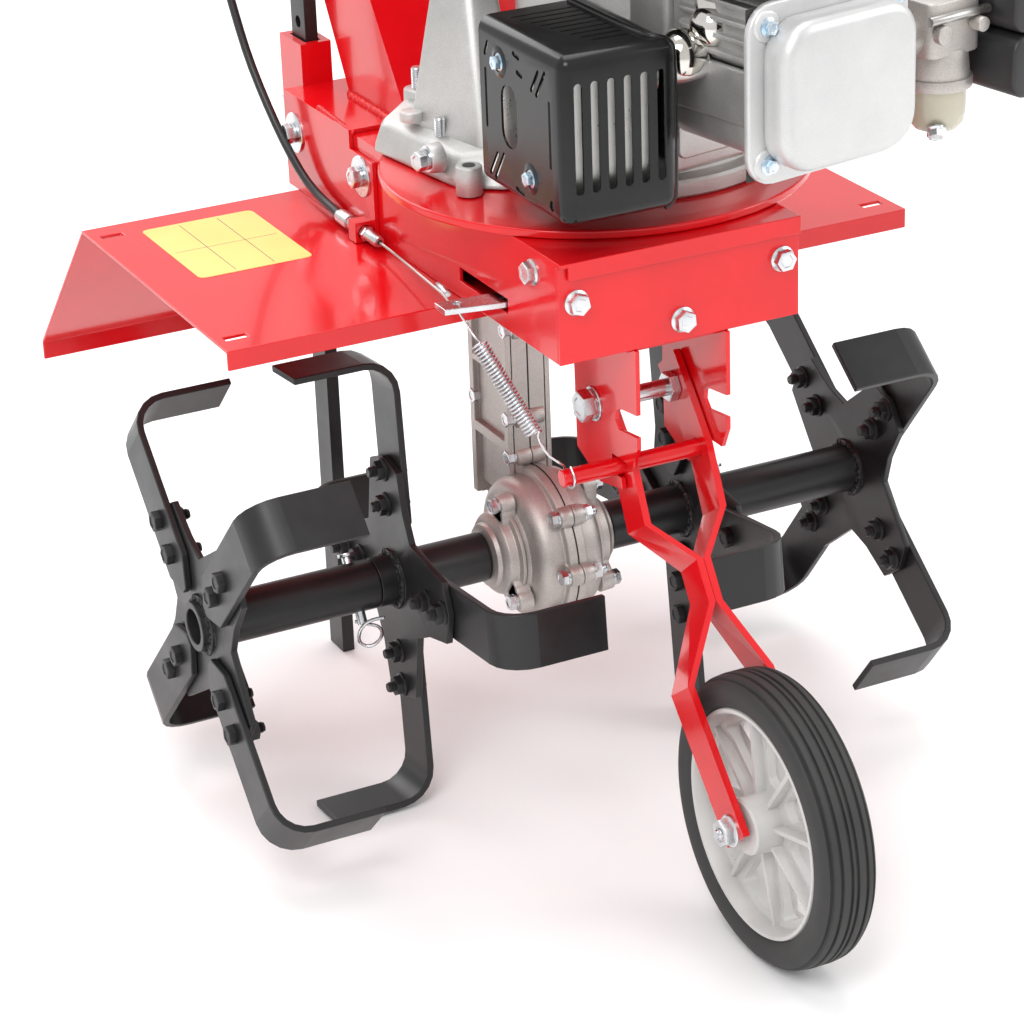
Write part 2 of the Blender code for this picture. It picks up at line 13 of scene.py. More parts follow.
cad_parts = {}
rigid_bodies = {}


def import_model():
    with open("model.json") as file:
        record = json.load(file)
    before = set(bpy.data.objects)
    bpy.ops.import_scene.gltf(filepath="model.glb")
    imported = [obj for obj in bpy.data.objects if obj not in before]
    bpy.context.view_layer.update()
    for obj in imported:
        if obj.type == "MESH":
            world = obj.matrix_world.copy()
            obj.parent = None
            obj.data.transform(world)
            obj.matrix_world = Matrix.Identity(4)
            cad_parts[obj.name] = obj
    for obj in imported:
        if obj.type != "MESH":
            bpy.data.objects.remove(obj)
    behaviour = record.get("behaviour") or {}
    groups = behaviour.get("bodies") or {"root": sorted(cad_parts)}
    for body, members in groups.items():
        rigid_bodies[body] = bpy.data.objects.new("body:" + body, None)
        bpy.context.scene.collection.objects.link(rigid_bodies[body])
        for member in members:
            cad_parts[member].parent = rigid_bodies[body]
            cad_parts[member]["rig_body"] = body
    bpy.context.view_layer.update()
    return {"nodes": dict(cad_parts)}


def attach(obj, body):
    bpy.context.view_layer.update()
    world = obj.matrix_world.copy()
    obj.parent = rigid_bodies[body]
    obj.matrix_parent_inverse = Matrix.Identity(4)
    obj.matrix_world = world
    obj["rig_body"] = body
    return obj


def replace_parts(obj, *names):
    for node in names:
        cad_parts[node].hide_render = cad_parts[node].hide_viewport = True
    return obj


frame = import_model()

# ------------------------------------------------------------------ studio
# A pale seamless floor under one large soft light on each side and one overhead, with an
# even white surround, and the camera looks down on the machine's front left corner.
scene = bpy.context.scene
camera = bpy.data.objects.new("camera", bpy.data.cameras.new("camera"))
scene.collection.objects.link(camera)
camera.data.sensor_width = 36.0
camera.data.lens = 116.56
camera.data.clip_end = 60.0
right = Vector((0.892096, -0.450559, -0.034065))
up = Vector((0.214363, 0.355654, 0.909703))
back = right.cross(up).normalized()
camera.matrix_world = Matrix.Translation((-0.97158, -2.22259, 1.18452)) @ Matrix(
    (right, up, back)).transposed().to_4x4()
scene.camera = camera

world = bpy.data.worlds.new("surround")
scene.world = world
world.use_nodes = True
world.node_tree.nodes["Background"].inputs["Color"].default_value = (1.0, 1.0, 1.0, 1.0)
world.node_tree.nodes["Background"].inputs["Strength"].default_value = 0.85
scene.view_settings.view_transform = "Standard"

for name, place, size, power in (
        ("key", (-1.9, -2.2, 2.9), 1.6, 62.0),
        ("fill", (2.6, -1.8, 1.9), 1.8, 34.0),
        ("top", (0.2, 0.3, 3.2), 2.2, 46.0),
        ("rim", (-0.6, 2.9, 2.2), 1.8, 40.0)):
    lamp = bpy.data.lights.new(name, "AREA")
    lamp.size = size
    lamp.energy = power
    holder = bpy.data.objects.new(name, lamp)
    scene.collection.objects.link(holder)
    holder.location = place
    aim = Vector((0.0, -0.2, 0.35)) - Vector(place)
    holder.rotation_euler = aim.to_track_quat("-Z", "Y").to_euler()

floor_bm = bmesh.new()
bmesh.ops.create_grid(floor_bm, x_segments=2, y_segments=2, size=12.0)
bmesh.ops.translate(floor_bm, vec=(0, 0, -0.0006), verts=floor_bm.verts)
floor_mesh = bpy.data.meshes.new("floor")
floor_bm.to_mesh(floor_mesh)
floor = bpy.data.objects.new("floor", floor_mesh)
scene.collection.objects.link(floor)
floor_paint = bpy.data.materials.new("studio floor")
floor_paint.use_nodes = True
floor_shader = floor_paint.node_tree.nodes["Principled BSDF"]
floor_shader.inputs["Base Color"].default_value = (0.93, 0.93, 0.93, 1.0)
floor_shader.inputs["Roughness"].default_value = 0.6
floor_mesh.materials.append(floor_paint)


# ------------------------------------------------------------------ folded red frame
# 3 mm sheet, punched, folded and welded, then powder coated in a deep gloss red. The coat
# rounds every edge a little and has a faint orange-peel ripple.
def finish(name, dark, light, rough, metal=0.0, coat=0.0, grain=700.0, bump=0.08,
           patch=14.0, depth=0.0004, speck=0.0, shine=0.5):
    """A surface whose colour and roughness drift in broad patches over a fine bumped grain."""
    mat = bpy.data.materials.new(name)
    mat.use_nodes = True
    nodes = mat.node_tree.nodes
    link = mat.node_tree.links.new
    shader = nodes["Principled BSDF"]
    where = nodes.new("ShaderNodeTexCoord")
    broad = nodes.new("ShaderNodeTexNoise")
    broad.inputs["Scale"].default_value = patch
    broad.inputs["Detail"].default_value = 5.0
    broad.inputs["Roughness"].default_value = 0.62
    fine = nodes.new("ShaderNodeTexNoise")
    fine.inputs["Scale"].default_value = grain
    fine.inputs["Detail"].default_value = 3.0
    link(where.outputs["Object"], broad.inputs["Vector"])
    link(where.outputs["Object"], fine.inputs["Vector"])
    tint = nodes.new("ShaderNodeValToRGB")
    tint.color_ramp.elements[0].position = 0.34
    tint.color_ramp.elements[0].color = (*dark, 1.0)
    tint.color_ramp.elements[1].position = 0.66
    tint.color_ramp.elements[1].color = (*light, 1.0)
    link(broad.outputs["Fac"], tint.inputs["Fac"])
    colour = tint.outputs["Color"]
    if speck:
        dots = nodes.new("ShaderNodeMapRange")
        dots.inputs["From Min"].default_value = 0.35
        dots.inputs["From Max"].default_value = 0.75
        dots.inputs["To Min"].default_value = 1.0 - speck
        dots.inputs["To Max"].default_value = 1.0 + speck
        link(fine.outputs["Fac"], dots.inputs["Value"])
        times = nodes.new("ShaderNodeVectorMath")
        times.operation = "SCALE"
        link(colour, times.inputs[0])
        link(dots.outputs["Result"], times.inputs["Scale"])
        colour = times.outputs["Vector"]
    link(colour, shader.inputs["Base Color"])
    worn = nodes.new("ShaderNodeMapRange")
    worn.inputs["From Min"].default_value = 0.3
    worn.inputs["From Max"].default_value = 0.7
    worn.inputs["To Min"].default_value = rough * 0.82
    worn.inputs["To Max"].default_value = min(1.0, rough * 1.22)
    link(broad.outputs["Fac"], worn.inputs["Value"])
    link(worn.outputs["Result"], shader.inputs["Roughness"])
    ripple = nodes.new("ShaderNodeBump")
    ripple.inputs["Strength"].default_value = bump
    ripple.inputs["Distance"].default_value = depth
    link(fine.outputs["Fac"], ripple.inputs["Height"])
    link(ripple.outputs["Normal"], shader.inputs["Normal"])
    shader.inputs["Metallic"].default_value = metal
    shader.inputs["Coat Weight"].default_value = coat
    shader.inputs["Coat Roughness"].default_value = 0.06
    shader.inputs["Specular IOR Level"].default_value = shine
    return mat


def rounded(bm, edges, radius, steps, profile=0.5, clamp=False):
    """Round the given edges of a bmesh."""
    bmesh.ops.bevel(bm, geom=edges, offset=radius, segments=steps, profile=profile,
                    affect="EDGES", clamp_overlap=clamp, material=-1)


TO_FRAME = Matrix.Translation((0.0, -0.2708, 0.0)) @ Matrix.Scale(0.001, 4)
AXLE_Z = 169.13


def piece(name, bm, material, body="frame", bevel=0.0, angle=30.0, steps=2,
          millimetres=True):
    """Turn a finished bmesh into a piece of the machine that moves with its body."""
    if millimetres:
        bm.transform(TO_FRAME)
    mesh = bpy.data.meshes.new(name)
    bm.to_mesh(mesh)
    bm.free()
    for face in mesh.polygons:
        face.use_smooth = True
    mesh.set_sharp_from_angle(angle=math.radians(angle))
    obj = bpy.data.objects.new(name, mesh)
    scene.collection.objects.link(obj)
    mesh.materials.append(material)
    if bevel:
        edge = obj.modifiers.new("edge", "BEVEL")
        edge.width = bevel * 0.001
        edge.segments = steps
        edge.limit_method = "ANGLE"
        edge.angle_limit = math.radians(angle)
        edge.harden_normals = True
    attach(obj, body)
    return obj


def finished(node, material, bevel=0.8, angle=30.0, steps=2, shape=None):
    """The same part with its edges rounded as the real one's are, in place of the bare solid."""
    bm = bmesh.new()
    bm.from_mesh(frame["nodes"][node].data)
    bmesh.ops.remove_doubles(bm, verts=bm.verts, dist=2e-6)
    bmesh.ops.dissolve_limit(bm, angle_limit=math.radians(0.6), verts=bm.verts, edges=bm.edges)
    if shape:
        shape(bm)
    made = piece(node + "_made", bm, material, frame["nodes"][node]["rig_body"],
                 bevel, angle, steps, millimetres=False)
    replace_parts(made, node)
    return made


red = finish("red powder coat", (0.60, 0.003, 0.006), (0.70, 0.005, 0.010), 0.17, coat=0.3,
             grain=420.0, bump=0.05, patch=9.0, shine=0.4)


def round_foot(bm):
    """The two corners of the arm's lower end, under the axle nut, rounded to a half circle."""
    ends = [e for e in bm.edges
            if abs(e.verts[0].co.x - e.verts[1].co.x) > 0.003
            and all((v.co.yz - Vector((-0.6028, 0.094))).length < 0.0155 for v in e.verts)
            and (e.verts[0].co - e.verts[1].co).yz.length < 1e-5]
    rounded(bm, ends, 0.0125, 7, clamp=True)


for node, width in (("belt_case", 1.0), ("front_plate", 0.7), ("engine_deck", 1.5),
                    ("rear_channel", 1.0), ("handlebar_column", 2.0), ("wheel_bracket", 1.0),
                    ("fender_left", 0.8), ("fender_right", 0.8), ("fork_arm_left", 1.2),
                    ("fork_arm_right", 1.2), ("cross_pin", 1.0)):
    finished(node, red, width, shape=round_foot if "fork" in node else None)

# ------------------------------------------------------------------ fasteners on the frame
# Zinc plated M8 hexagon bolts with a pressed flange or a spring washer under the head,
# and two wide mudguard washers where the rear channel is pulled on to the case.
zinc = finish("bright zinc plate", (0.56, 0.57, 0.59), (0.74, 0.75, 0.77), 0.27, metal=1.0,
              grain=900.0, bump=0.12, patch=60.0)
blue_zinc = finish("blue zinc plate", (0.36, 0.55, 0.70), (0.72, 0.76, 0.80), 0.25, metal=1.0,
                   grain=900.0, bump=0.1, patch=110.0)


def turned(profile, steps=32):
    """Spin an (r, z) outline once round Z, as on a lathe, and close it."""
    made = bmesh.new()
    line = [made.verts.new((r, 0.0, z)) for r, z in profile]
    edges = [made.edges.new(pair) for pair in zip(line, line[1:])]
    bmesh.ops.spin(made, geom=line + edges, cent=(0, 0, 0), axis=(0, 0, 1),
                   angle=2 * math.pi, steps=steps, use_merge=True)
    bmesh.ops.remove_doubles(made, verts=made.verts, dist=1e-4)
    bmesh.ops.recalc_face_normals(made, faces=made.faces)
    return made


def joined(bm, part, matrix=None):
    """Add a finished part to a growing bmesh at a place."""
    start = len(bm.verts)
    mesh = bpy.data.meshes.new("part")
    part.to_mesh(mesh)
    part.free()
    bm.from_mesh(mesh)
    bpy.data.meshes.remove(mesh)
    bm.verts.ensure_lookup_table()
    if matrix is not None:
        bmesh.ops.transform(bm, matrix=matrix, verts=bm.verts[start:])
    return bm.verts[start:]


def bolt(across=13.0, head=5.5, flange=0.0, washer=0.0, spring=0.0, stud=0.0):
    """A hexagon head seen from outside, seat at z 0: washer, spring ring, flange, head, thread."""
    bm = bmesh.new()
    z = 0.0

    def add(part, lift):
        joined(bm, part, Matrix.Translation((0, 0, lift)))

    if washer:
        add(turned([(0, 0), (washer, 0), (washer, 1.1), (washer - 0.5, 1.6), (0, 1.6)], 28), z)
        z += 1.6
    if spring:
        add(turned([(0, 0), (spring, 0.2), (spring, 1.9), (spring - 0.4, 2.1), (0, 2.1)], 24), z)
        z += 2.1
    if flange:
        add(turned([(0, 0), (flange, 0), (flange, 0.9), (across * 0.54, 2.0), (0, 2.0)], 28), z)
        z += 1.4
    hexagon = bmesh.new()
    bmesh.ops.create_cone(hexagon, cap_ends=True, segments=6, radius1=across / math.sqrt(3),
                          radius2=across / math.sqrt(3), depth=head)
    bmesh.ops.translate(hexagon, vec=(0, 0, head / 2), verts=hexagon.verts)
    top = [e for e in hexagon.edges if all(v.co.z > head * 0.9 for v in e.verts)]
    rounded(hexagon, top, across * 0.07, 2, profile=0.6)
    lid = max(hexagon.faces, key=lambda f: f.calc_center_median().z)
    bmesh.ops.inset_individual(hexagon, faces=[lid], thickness=across * 0.13, depth=0)
    bmesh.ops.inset_individual(hexagon, faces=[lid], thickness=across * 0.05,
                               depth=-across * 0.045)
    add(hexagon, z)
    z += head
    if stud:
        pitch = 1.25
        outline = [(0, 0)]
        for k in range(int(stud / pitch)):
            outline += [(4.0, k * pitch), (3.4, (k + 0.5) * pitch)]
        outline += [(3.2, stud), (0, stud)]
        add(turned(outline, 16), z - 0.5)
    mesh = bpy.data.meshes.new("bolt")
    bm.to_mesh(mesh)
    bm.free()
    return mesh


def facing(point, axis, spin=0.0):
    """Put a template's seat on a point with its Z along an axis."""
    turn = Vector(axis).normalized().to_track_quat("Z", "Y").to_matrix().to_4x4()
    return Matrix.Translation(point) @ turn @ Matrix.Rotation(math.radians(spin), 4, "Z")


def copies(name, pattern, places, material, body="frame", angle=30.0):
    """One piece holding a copy of the pattern at every place."""
    bm = bmesh.new()
    for place in places:
        start = len(bm.verts)
        bm.from_mesh(pattern)
        bm.verts.ensure_lookup_table()
        bmesh.ops.transform(bm, matrix=place, verts=bm.verts[start:])
    return piece(name, bm, material, body, angle=angle)


plain = bolt(flange=8.6)
copies("case_front_bolts", plain,
       [facing((x, -211.0, z), (0, -1, 0), spin) for x, z, spin in
        ((-75.5, 438.0, 12), (75.5, 438.0, 34), (1.0, 411.0, 5))], zinc)
copies("case_side_bolts", plain,
       [facing((s * 88.0, -176.0, 450.0), (s, 0, 0), 20 + 9 * s) for s in (-1, 1)],
       zinc)
wide = bolt(head=5.3, washer=15.0, spring=7.4)
copies("channel_bolts", wide,
       [facing((s * 91.3, y, 441.0), (s, 0, 0), y) for s in (-1, 1) for y in (81.0, 198.0)],
       zinc)
deck_nuts = bolt(across=13.0, head=6.0, washer=8.5)
copies("engine_foot_nuts", deck_nuts,
       [facing((22.0 + 128.0 * math.cos(a), -55.0 + 128.0 * math.sin(a), 466.0), (0, 0, -1), 10)
        for a in (2.6, 0.35, -0.6)], zinc)

# ------------------------------------------------------------------ weld beads
# The column, the stake sleeve and the wheel bracket are welded on before painting, so the
# rippled beads lie under the same red coat.
def bead(name, line, radius, wobble=0.35):
    """A weld run: overlapping puddles along a line of points."""
    bm = bmesh.new()
    points = [Vector(p) for p in line]
    count = 0
    for a, b in zip(points, points[1:]):
        n = max(2, int((b - a).length / (radius * 0.75)))
        for k in range(n):
            count += 1
            size = radius * (1.0 + wobble * math.sin(count * 2.3) * 0.5)
            puddle = bmesh.ops.create_uvsphere(bm, u_segments=10, v_segments=6, radius=size)
            at = a.lerp(b, k / n) + Vector((0.0, 0.0, 0.3 * math.sin(count * 1.7)))
            bmesh.ops.translate(bm, vec=at, verts=puddle["verts"])
    return piece(name, bm, red, angle=80)


TOP = 469.6
bead("column_weld_left", [(-57, 76, TOP), (-57, 174, TOP)], 3.2)
bead("column_weld_right", [(57, 76, TOP), (57, 174, TOP)], 3.2)
bead("column_weld_rear", [(-54, 177, TOP), (54, 177, TOP)], 3.2)
bead("channel_weld", [(-88, 100, 467), (-88, 160, 470)], 1.8)
bead("bracket_weld_left", [(-36, -205, 396), (-36, -130, 396)], 2.2)
bead("bracket_weld_right", [(36, -205, 396), (36, -130, 396)], 2.2)

# ------------------------------------------------------------------ blank yellow panel
# A thin printed vinyl rectangle with rounded corners, stuck on the left wing; it carries
# plain grey dividing lines only.
vinyl = finish("yellow vinyl", (0.80, 0.58, 0.16), (0.86, 0.64, 0.20), 0.38, grain=300.0,
               bump=0.02)
ink = finish("grey ink", (0.10, 0.10, 0.10), (0.14, 0.14, 0.14), 0.45, grain=300.0, bump=0.02)


def slab(bm, low, high):
    """A block between two corners, added to a bmesh."""
    low, high = Vector(low), Vector(high)
    made = bmesh.ops.create_cube(bm, size=1.0)["verts"]
    bmesh.ops.scale(bm, vec=high - low, verts=made)
    bmesh.ops.translate(bm, vec=(low + high) / 2, verts=made)
    return made


bm = bmesh.new()
WING_TOP = 396.75
slab(bm, (-224, 62, WING_TOP), (-139, 176, WING_TOP + 0.2))
corners = [e for e in bm.edges if abs(e.verts[0].co.z - e.verts[1].co.z) > 0.1]
rounded(bm, corners, 5.0, 5)
piece("wing_panel", bm, vinyl)
bm = bmesh.new()
for x in (-196, -167):
    slab(bm, (x - 0.3, 66, 396.9), (x + 0.3, 172, 397.02))
slab(bm, (-220, 118.7, 396.9), (-143, 119.3, 397.02))
piece("wing_panel_lines", bm, ink)

# ------------------------------------------------------------------ worm gearbox
# Two sand-blasted aluminium castings bolted together on a dark gasket, with a cored leg up
# to the frame and a three-lugged bearing cap pressed into each side.
cast = finish("sand cast aluminium", (0.47, 0.435, 0.41), (0.58, 0.545, 0.52), 0.44, metal=0.75,
              grain=1500.0, bump=0.35, patch=22.0, depth=0.0006, speck=0.16)
gasket = finish("dark gasket", (0.02, 0.02, 0.02), (0.04, 0.035, 0.03), 0.7, grain=500.0)
copper = finish("copper washer", (0.55, 0.22, 0.10), (0.62, 0.28, 0.14), 0.35, metal=1.0,
                grain=600.0)


def rod(bm, a, b, r, r2=None, segments=24, bevel=0.0):
    """A round bar from point a to point b, its ends optionally rounded."""
    a, b = Vector(a), Vector(b)
    part = bmesh.new()
    bmesh.ops.create_cone(part, cap_ends=True, segments=segments, radius1=r,
                          radius2=r if r2 is None else r2, depth=(b - a).length)
    if bevel:
        rim = [e for e in part.edges if abs(e.verts[0].co.z - e.verts[1].co.z) < 1e-6]
        rounded(part, rim, bevel, 2)
    turn = (b - a).to_track_quat("Z", "Y").to_matrix().to_4x4()
    return joined(bm, part, Matrix.Translation((a + b) / 2) @ turn)


LUGS = (100.0, 218.0, 336.0)
RIM_BOLTS = (140.0, 182.0, 224.0, 268.0, 312.0)
LEG_BOLTS = ((18.0, 262.0), (18.0, 232.0), (72.0, 330.0), (72.0, 262.0), (18.0, 330.0))


def around(angle, r, x=0.0):
    """A point r out from the tine axle; the angle runs from the rear toward the top."""
    a = math.radians(angle)
    return Vector((x, r * math.cos(a), AXLE_Z + r * math.sin(a)))


def on_axle(sign):
    """Lay a turned part's Z along the tine axle, facing outward on one side."""
    return Matrix.Translation((0, 0, AXLE_Z)) @ Matrix.Rotation(math.radians(90 * sign), 4, "Y")


for sign, side in ((-1, "left"), (1, "right")):
    bm = bmesh.new()
    shell = turned([(13.2, 22), (13.2, 30), (33, 30), (35, 29), (37, 27), (44, 26), (49, 23.5),
                    (52, 19), (53, 14), (53, 8.4), (54, 7.6), (57, 7.2), (58, 6.4), (58, 0.25),
                    (44, 0.25), (44, 22), (13.2, 22)], 64)
    joined(bm, shell, on_axle(sign))
    a, b = sorted((sign * 0.25, sign * 13.0))
    slab(bm, (a, 20, 196), (b, 70, 388))
    a, b = sorted((sign * 12.0, sign * 17.3))
    for y0, y1 in ((14.0, 21.0), (69.0, 76.0)):
        slab(bm, (a, y0, 186), (b, y1, 388))
    for y0, y1 in ((14.0, 22.0), (68.0, 76.0)):
        c, d = sorted((sign * 0.25, sign * 14.0))
        slab(bm, (c, y0, 186), (d, y1, 388))
    slab(bm, (a, 20, 292), (b, 70, 297))
    slab(bm, (a, 20, 236), (b, 70, 244))
    c, d = sorted((sign * 0.25, sign * 32.0))
    slab(bm, (c, 6, 385), (d, 84, 396.6))
    for angle in RIM_BOLTS:
        p = around(angle, 59.0)
        rod(bm, p + Vector((sign * 0.25, 0, 0)), p + Vector((sign * 9.5, 0, 0)), 8.0, 7.2,
            bevel=0.8)
        q = around(angle, 49.0)
        rod(bm, q + Vector((sign * 0.25, 0, 0)), q + Vector((sign * 9.0, 0, 0)), 9.5, 8.6,
            bevel=0.8)
    for y, z in LEG_BOLTS:
        rod(bm, (sign * 0.25, y, z), (sign * 11.5, y, z), 8.0, 7.4, bevel=0.8)
    if sign < 0:
        rod(bm, (-12, 58, 362), (-26, 58, 362), 11.5, 10.5, bevel=1.0)
    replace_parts(piece("gearbox_casting_" + side,
                      bm, cast, bevel=0.9), "gearbox_" + side)

    bm = bmesh.new()
    cap = turned([(13.4, 30), (35, 30), (35, 32.5), (31, 34), (30, 40), (27, 43), (24, 44),
                  (23, 47), (20, 48), (13.4, 48), (13.4, 30)], 48)
    joined(bm, cap, on_axle(sign))
    for angle in LUGS:
        for r, fat in ((30.0, 9.5), (35.0, 9.0), (41.0, 8.4)):
            p = around(angle, r)
            rod(bm, p + Vector((sign * 27.5, 0, 0)), p + Vector((sign * 38.5, 0, 0)), fat,
                fat - 0.8, bevel=0.8)
    piece("bearing_cap_" + side, bm, cast, bevel=0.5)
    copies("cap_bolts_" + side, bolt(across=10.0, head=4.4, spring=5.6),
           [facing(around(angle, 41.0, sign * 38.2), (sign, 0, 0), angle) for angle in LUGS],
           zinc)
    seal = turned([(12.9, 46), (17, 46), (17, 48.6), (15.6, 49.4), (12.9, 49.4), (12.9, 46)], 36)
    bm = bmesh.new()
    joined(bm, seal, on_axle(sign))
    piece("axle_seal_" + side, bm, gasket)

bm = bmesh.new()
joined(bm, turned([(43, -0.22), (58.5, -0.22), (58.5, 0.22), (43, 0.22), (43, -0.22)], 64),
       on_axle(1))
slab(bm, (-0.22, 13.6, 216), (0.22, 24, 384.5))
slab(bm, (-0.22, 66, 216), (0.22, 76.4, 384.5))
piece("gearbox_gasket", bm, gasket)

rim_screws = [facing(around(angle, 59.0, -9.4), (-1, 0, 0), angle) for angle in RIM_BOLTS]
rim_screws += [facing((-11.4, y, z), (-1, 0, 0), y) for y, z in LEG_BOLTS]
copies("gearbox_bolts", bolt(across=10.0, head=4.6, spring=5.8), rim_screws, zinc)
rim_nuts = [facing(around(angle, 59.0, 9.4), (1, 0, 0), angle + 8) for angle in RIM_BOLTS]
copies("gearbox_nuts", bolt(across=10.0, head=5.0, washer=6.6, stud=5.0), rim_nuts, zinc)
copies("level_plug", bolt(across=14.0, head=6.0, flange=9.4), [facing((-27.4, 58, 362),
       (-1, 0, 0), 14)], zinc)
bm = turned([(0, 0), (10.4, 0), (10.4, 1.5), (0, 1.5)], 28)
bm.transform(facing((-26.0, 58, 362), (-1, 0, 0)))
piece("level_plug_washer", bm, copper)

# ------------------------------------------------------------------ tine rotors
# Hub tubes with welded star plates; spring steel blades cut to a point at the hub,
# bent hot over a wide radius and held by two black M8 bolts each. All satin black.
satin_black = finish("satin black coat", (0.009, 0.009, 0.010), (0.016, 0.016, 0.017), 0.36,
                     grain=520.0, bump=0.09, patch=18.0, shine=0.42)
black_bolt = finish("blackened steel", (0.010, 0.010, 0.011), (0.030, 0.030, 0.032), 0.42,
                    metal=0.4, grain=800.0, bump=0.2, patch=90.0)
bright = finish("turned steel", (0.42, 0.41, 0.40), (0.52, 0.51, 0.49), 0.3, metal=1.0,
                grain=900.0, bump=0.1, patch=50.0)
finished("tine_axle", bright, 0.6)

STARS = (("outer_left", -262.0, 45.0, -1), ("inner_left", -117.0, -5.0, 1),
         ("inner_right", 117.0, -7.0, -1), ("outer_right", 262.0, 38.0, 1))
hex_head = bolt(across=13.0, head=5.6)
flange_nut = bolt(across=13.0, head=5.4, flange=8.8, stud=5.5)
head_places, nut_places = [], []
for star, star_x, phase, face in STARS:
    finished("hub_" + star, satin_black, 0.8, angle=25)
    for k in range(4):
        angle = phase + 90.0 * k
        to_rest = Matrix.Rotation(-math.radians(angle - 90.0), 4, "X") @ Matrix.Translation(
            (0.0, 0.2708, -AXLE_Z * 0.001))

        def trimmed(bm, back=to_rest):
            bm.transform(back)
            for tip_y, normal in ((0.020, (0, 1, -0.85)), (-0.020, (0, -1, -0.85))):
                both = bm.verts[:] + bm.edges[:] + bm.faces[:]
                bmesh.ops.bisect_plane(bm, geom=both, dist=1e-7, plane_co=(0, tip_y, 0.0455),
                                       plane_no=normal, clear_outer=True)
                rim = [e for e in bm.edges if e.is_boundary]
                bmesh.ops.holes_fill(bm, edges=rim, sides=0)
            bmesh.ops.recalc_face_normals(bm, faces=bm.faces)
            bm.transform(back.inverted())

        finished("blade_%s_%d" % (star, k + 1), satin_black, 0.9, angle=28,
                 shape=trimmed)
        for r in (56.0, 82.0):
            blade_face = star_x + face * 7.9
            head_places.append(facing(around(angle, r, blade_face), (face, 0, 0), angle + r))
            nut_places.append(facing(around(angle, r, star_x - face * 2.6), (-face, 0, 0),
                                     angle - r))
    bm = bmesh.new()
    for lift in (-3.4, 3.4):
        for n in range(30):
            a = 12.0 * n
            puddle = bmesh.ops.create_uvsphere(bm, u_segments=8, v_segments=5,
                                               radius=2.7 + 0.5 * math.sin(n * 2.1 + lift))
            bmesh.ops.translate(bm, vec=around(a, 19.4, star_x + lift), verts=puddle["verts"])
    piece("hub_weld_" + star, bm, satin_black, "tines", angle=80)
copies("blade_bolts", hex_head, head_places, black_bolt, "tines")
copies("blade_nuts", flange_nut, nut_places, black_bolt, "tines")

# clevis pins with spring clips hold the outer tubes on the inner ones
for side, sign in (("left", -1), ("right", 1)):
    bm = bmesh.new()
    low, high = around(-118.0, 27.0, sign * 150.0), around(62.0, 22.5, sign * 150.0)
    rod(bm, low, high, 3.6, segments=16, bevel=0.6)
    rod(bm, high, high + (high - low).normalized() * 2.5, 6.0, segments=16, bevel=0.5)
    piece("clevis_pin_" + side, bm, zinc, "tines")


def wire_line(name, points, radius, material, body="frame", resolution=6):
    """A round wire or tube bent along points, as a mesh; ends closed."""
    curve = bpy.data.curves.new(name, "CURVE")
    curve.dimensions = "3D"
    curve.bevel_depth = radius * 0.001
    curve.bevel_resolution = 3
    curve.use_fill_caps = True
    curve.resolution_u = resolution
    line = curve.splines.new("NURBS")
    line.points.add(len(points) - 1)
    for spot, p in zip(line.points, points):
        spot.co = (*(TO_FRAME @ Vector(p)), 1.0)
    line.order_u = 3
    line.use_endpoint_u = True
    temp = bpy.data.objects.new(name + "_line", curve)
    scene.collection.objects.link(temp)
    mesh = bpy.data.meshes.new_from_object(temp)
    bpy.data.objects.remove(temp)
    bpy.data.curves.remove(curve)
    for face in mesh.polygons:
        face.use_smooth = True
    mesh.materials.clear()
    mesh.materials.append(material)
    mesh.name = name
    obj = bpy.data.objects.new(name, mesh)
    scene.collection.objects.link(obj)
    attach(obj, body)
    return obj


for side, sign in (("left", -1), ("right", 1)):
    eye = around(-118.0, 25.5, sign * 150.0)
    x, y, z = eye
    clip = [(x - 4, y + 4, z), (x + 4, y - 3, z - 1), (x + 10, y - 9, z - 2),
            (x + 8, y - 16, z - 7), (x - 2, y - 17, z - 12), (x - 8, y - 10, z - 10),
            (x - 5, y - 4, z - 4), (x + 3, y - 5, z + 4), (x + 12, y - 12, z + 6)]
    wire_line("spring_clip_" + side, clip, 1.3, zinc, "tines")

# ------------------------------------------------------------------ transport wheel
# A solid rubber tyre with four running grooves on a grey moulded rim: a deep rim ring,
# eight windows between thin ribs, and a plain nave on the axle bolt.
rubber = finish("black tyre rubber", (0.020, 0.020, 0.020), (0.032, 0.031, 0.030), 0.62,
                grain=380.0, bump=0.16, patch=26.0)
grey = finish("grey moulded plastic", (0.50, 0.49, 0.475), (0.58, 0.57, 0.555), 0.46,
              grain=900.0, bump=0.1, patch=20.0)
WHEEL_Y, WHEEL_Z = -326.0, 100.0
WHEEL = Matrix.Translation((0, WHEEL_Y, WHEEL_Z)) @ Matrix.Rotation(math.radians(90), 4, "Y")
half = [(79.2, 17.6), (80.5, 18.9), (84, 19.4), (88, 20), (92.5, 19.6), (95.4, 17.9),
        (96.6, 16.6), (95.9, 15.8), (95.9, 14.8), (98.6, 13.9), (99.3, 12.0), (99.5, 10.6),
        (98.0, 10.0), (98.0, 8.6), (99.8, 8.0), (100, 5.6), (100, 3.4), (98.4, 2.9), (98.4, 1.4),
        (100, 0.9)]
outline = half + [(r, -z) for r, z in reversed(half)]
outline += [(78.6, -17.0), (78.6, 17.0), outline[0]]
bm = turned(outline, 128)
bm.transform(WHEEL)
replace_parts(piece("tyre_made", bm, rubber, "wheel", angle=40), "tyre")

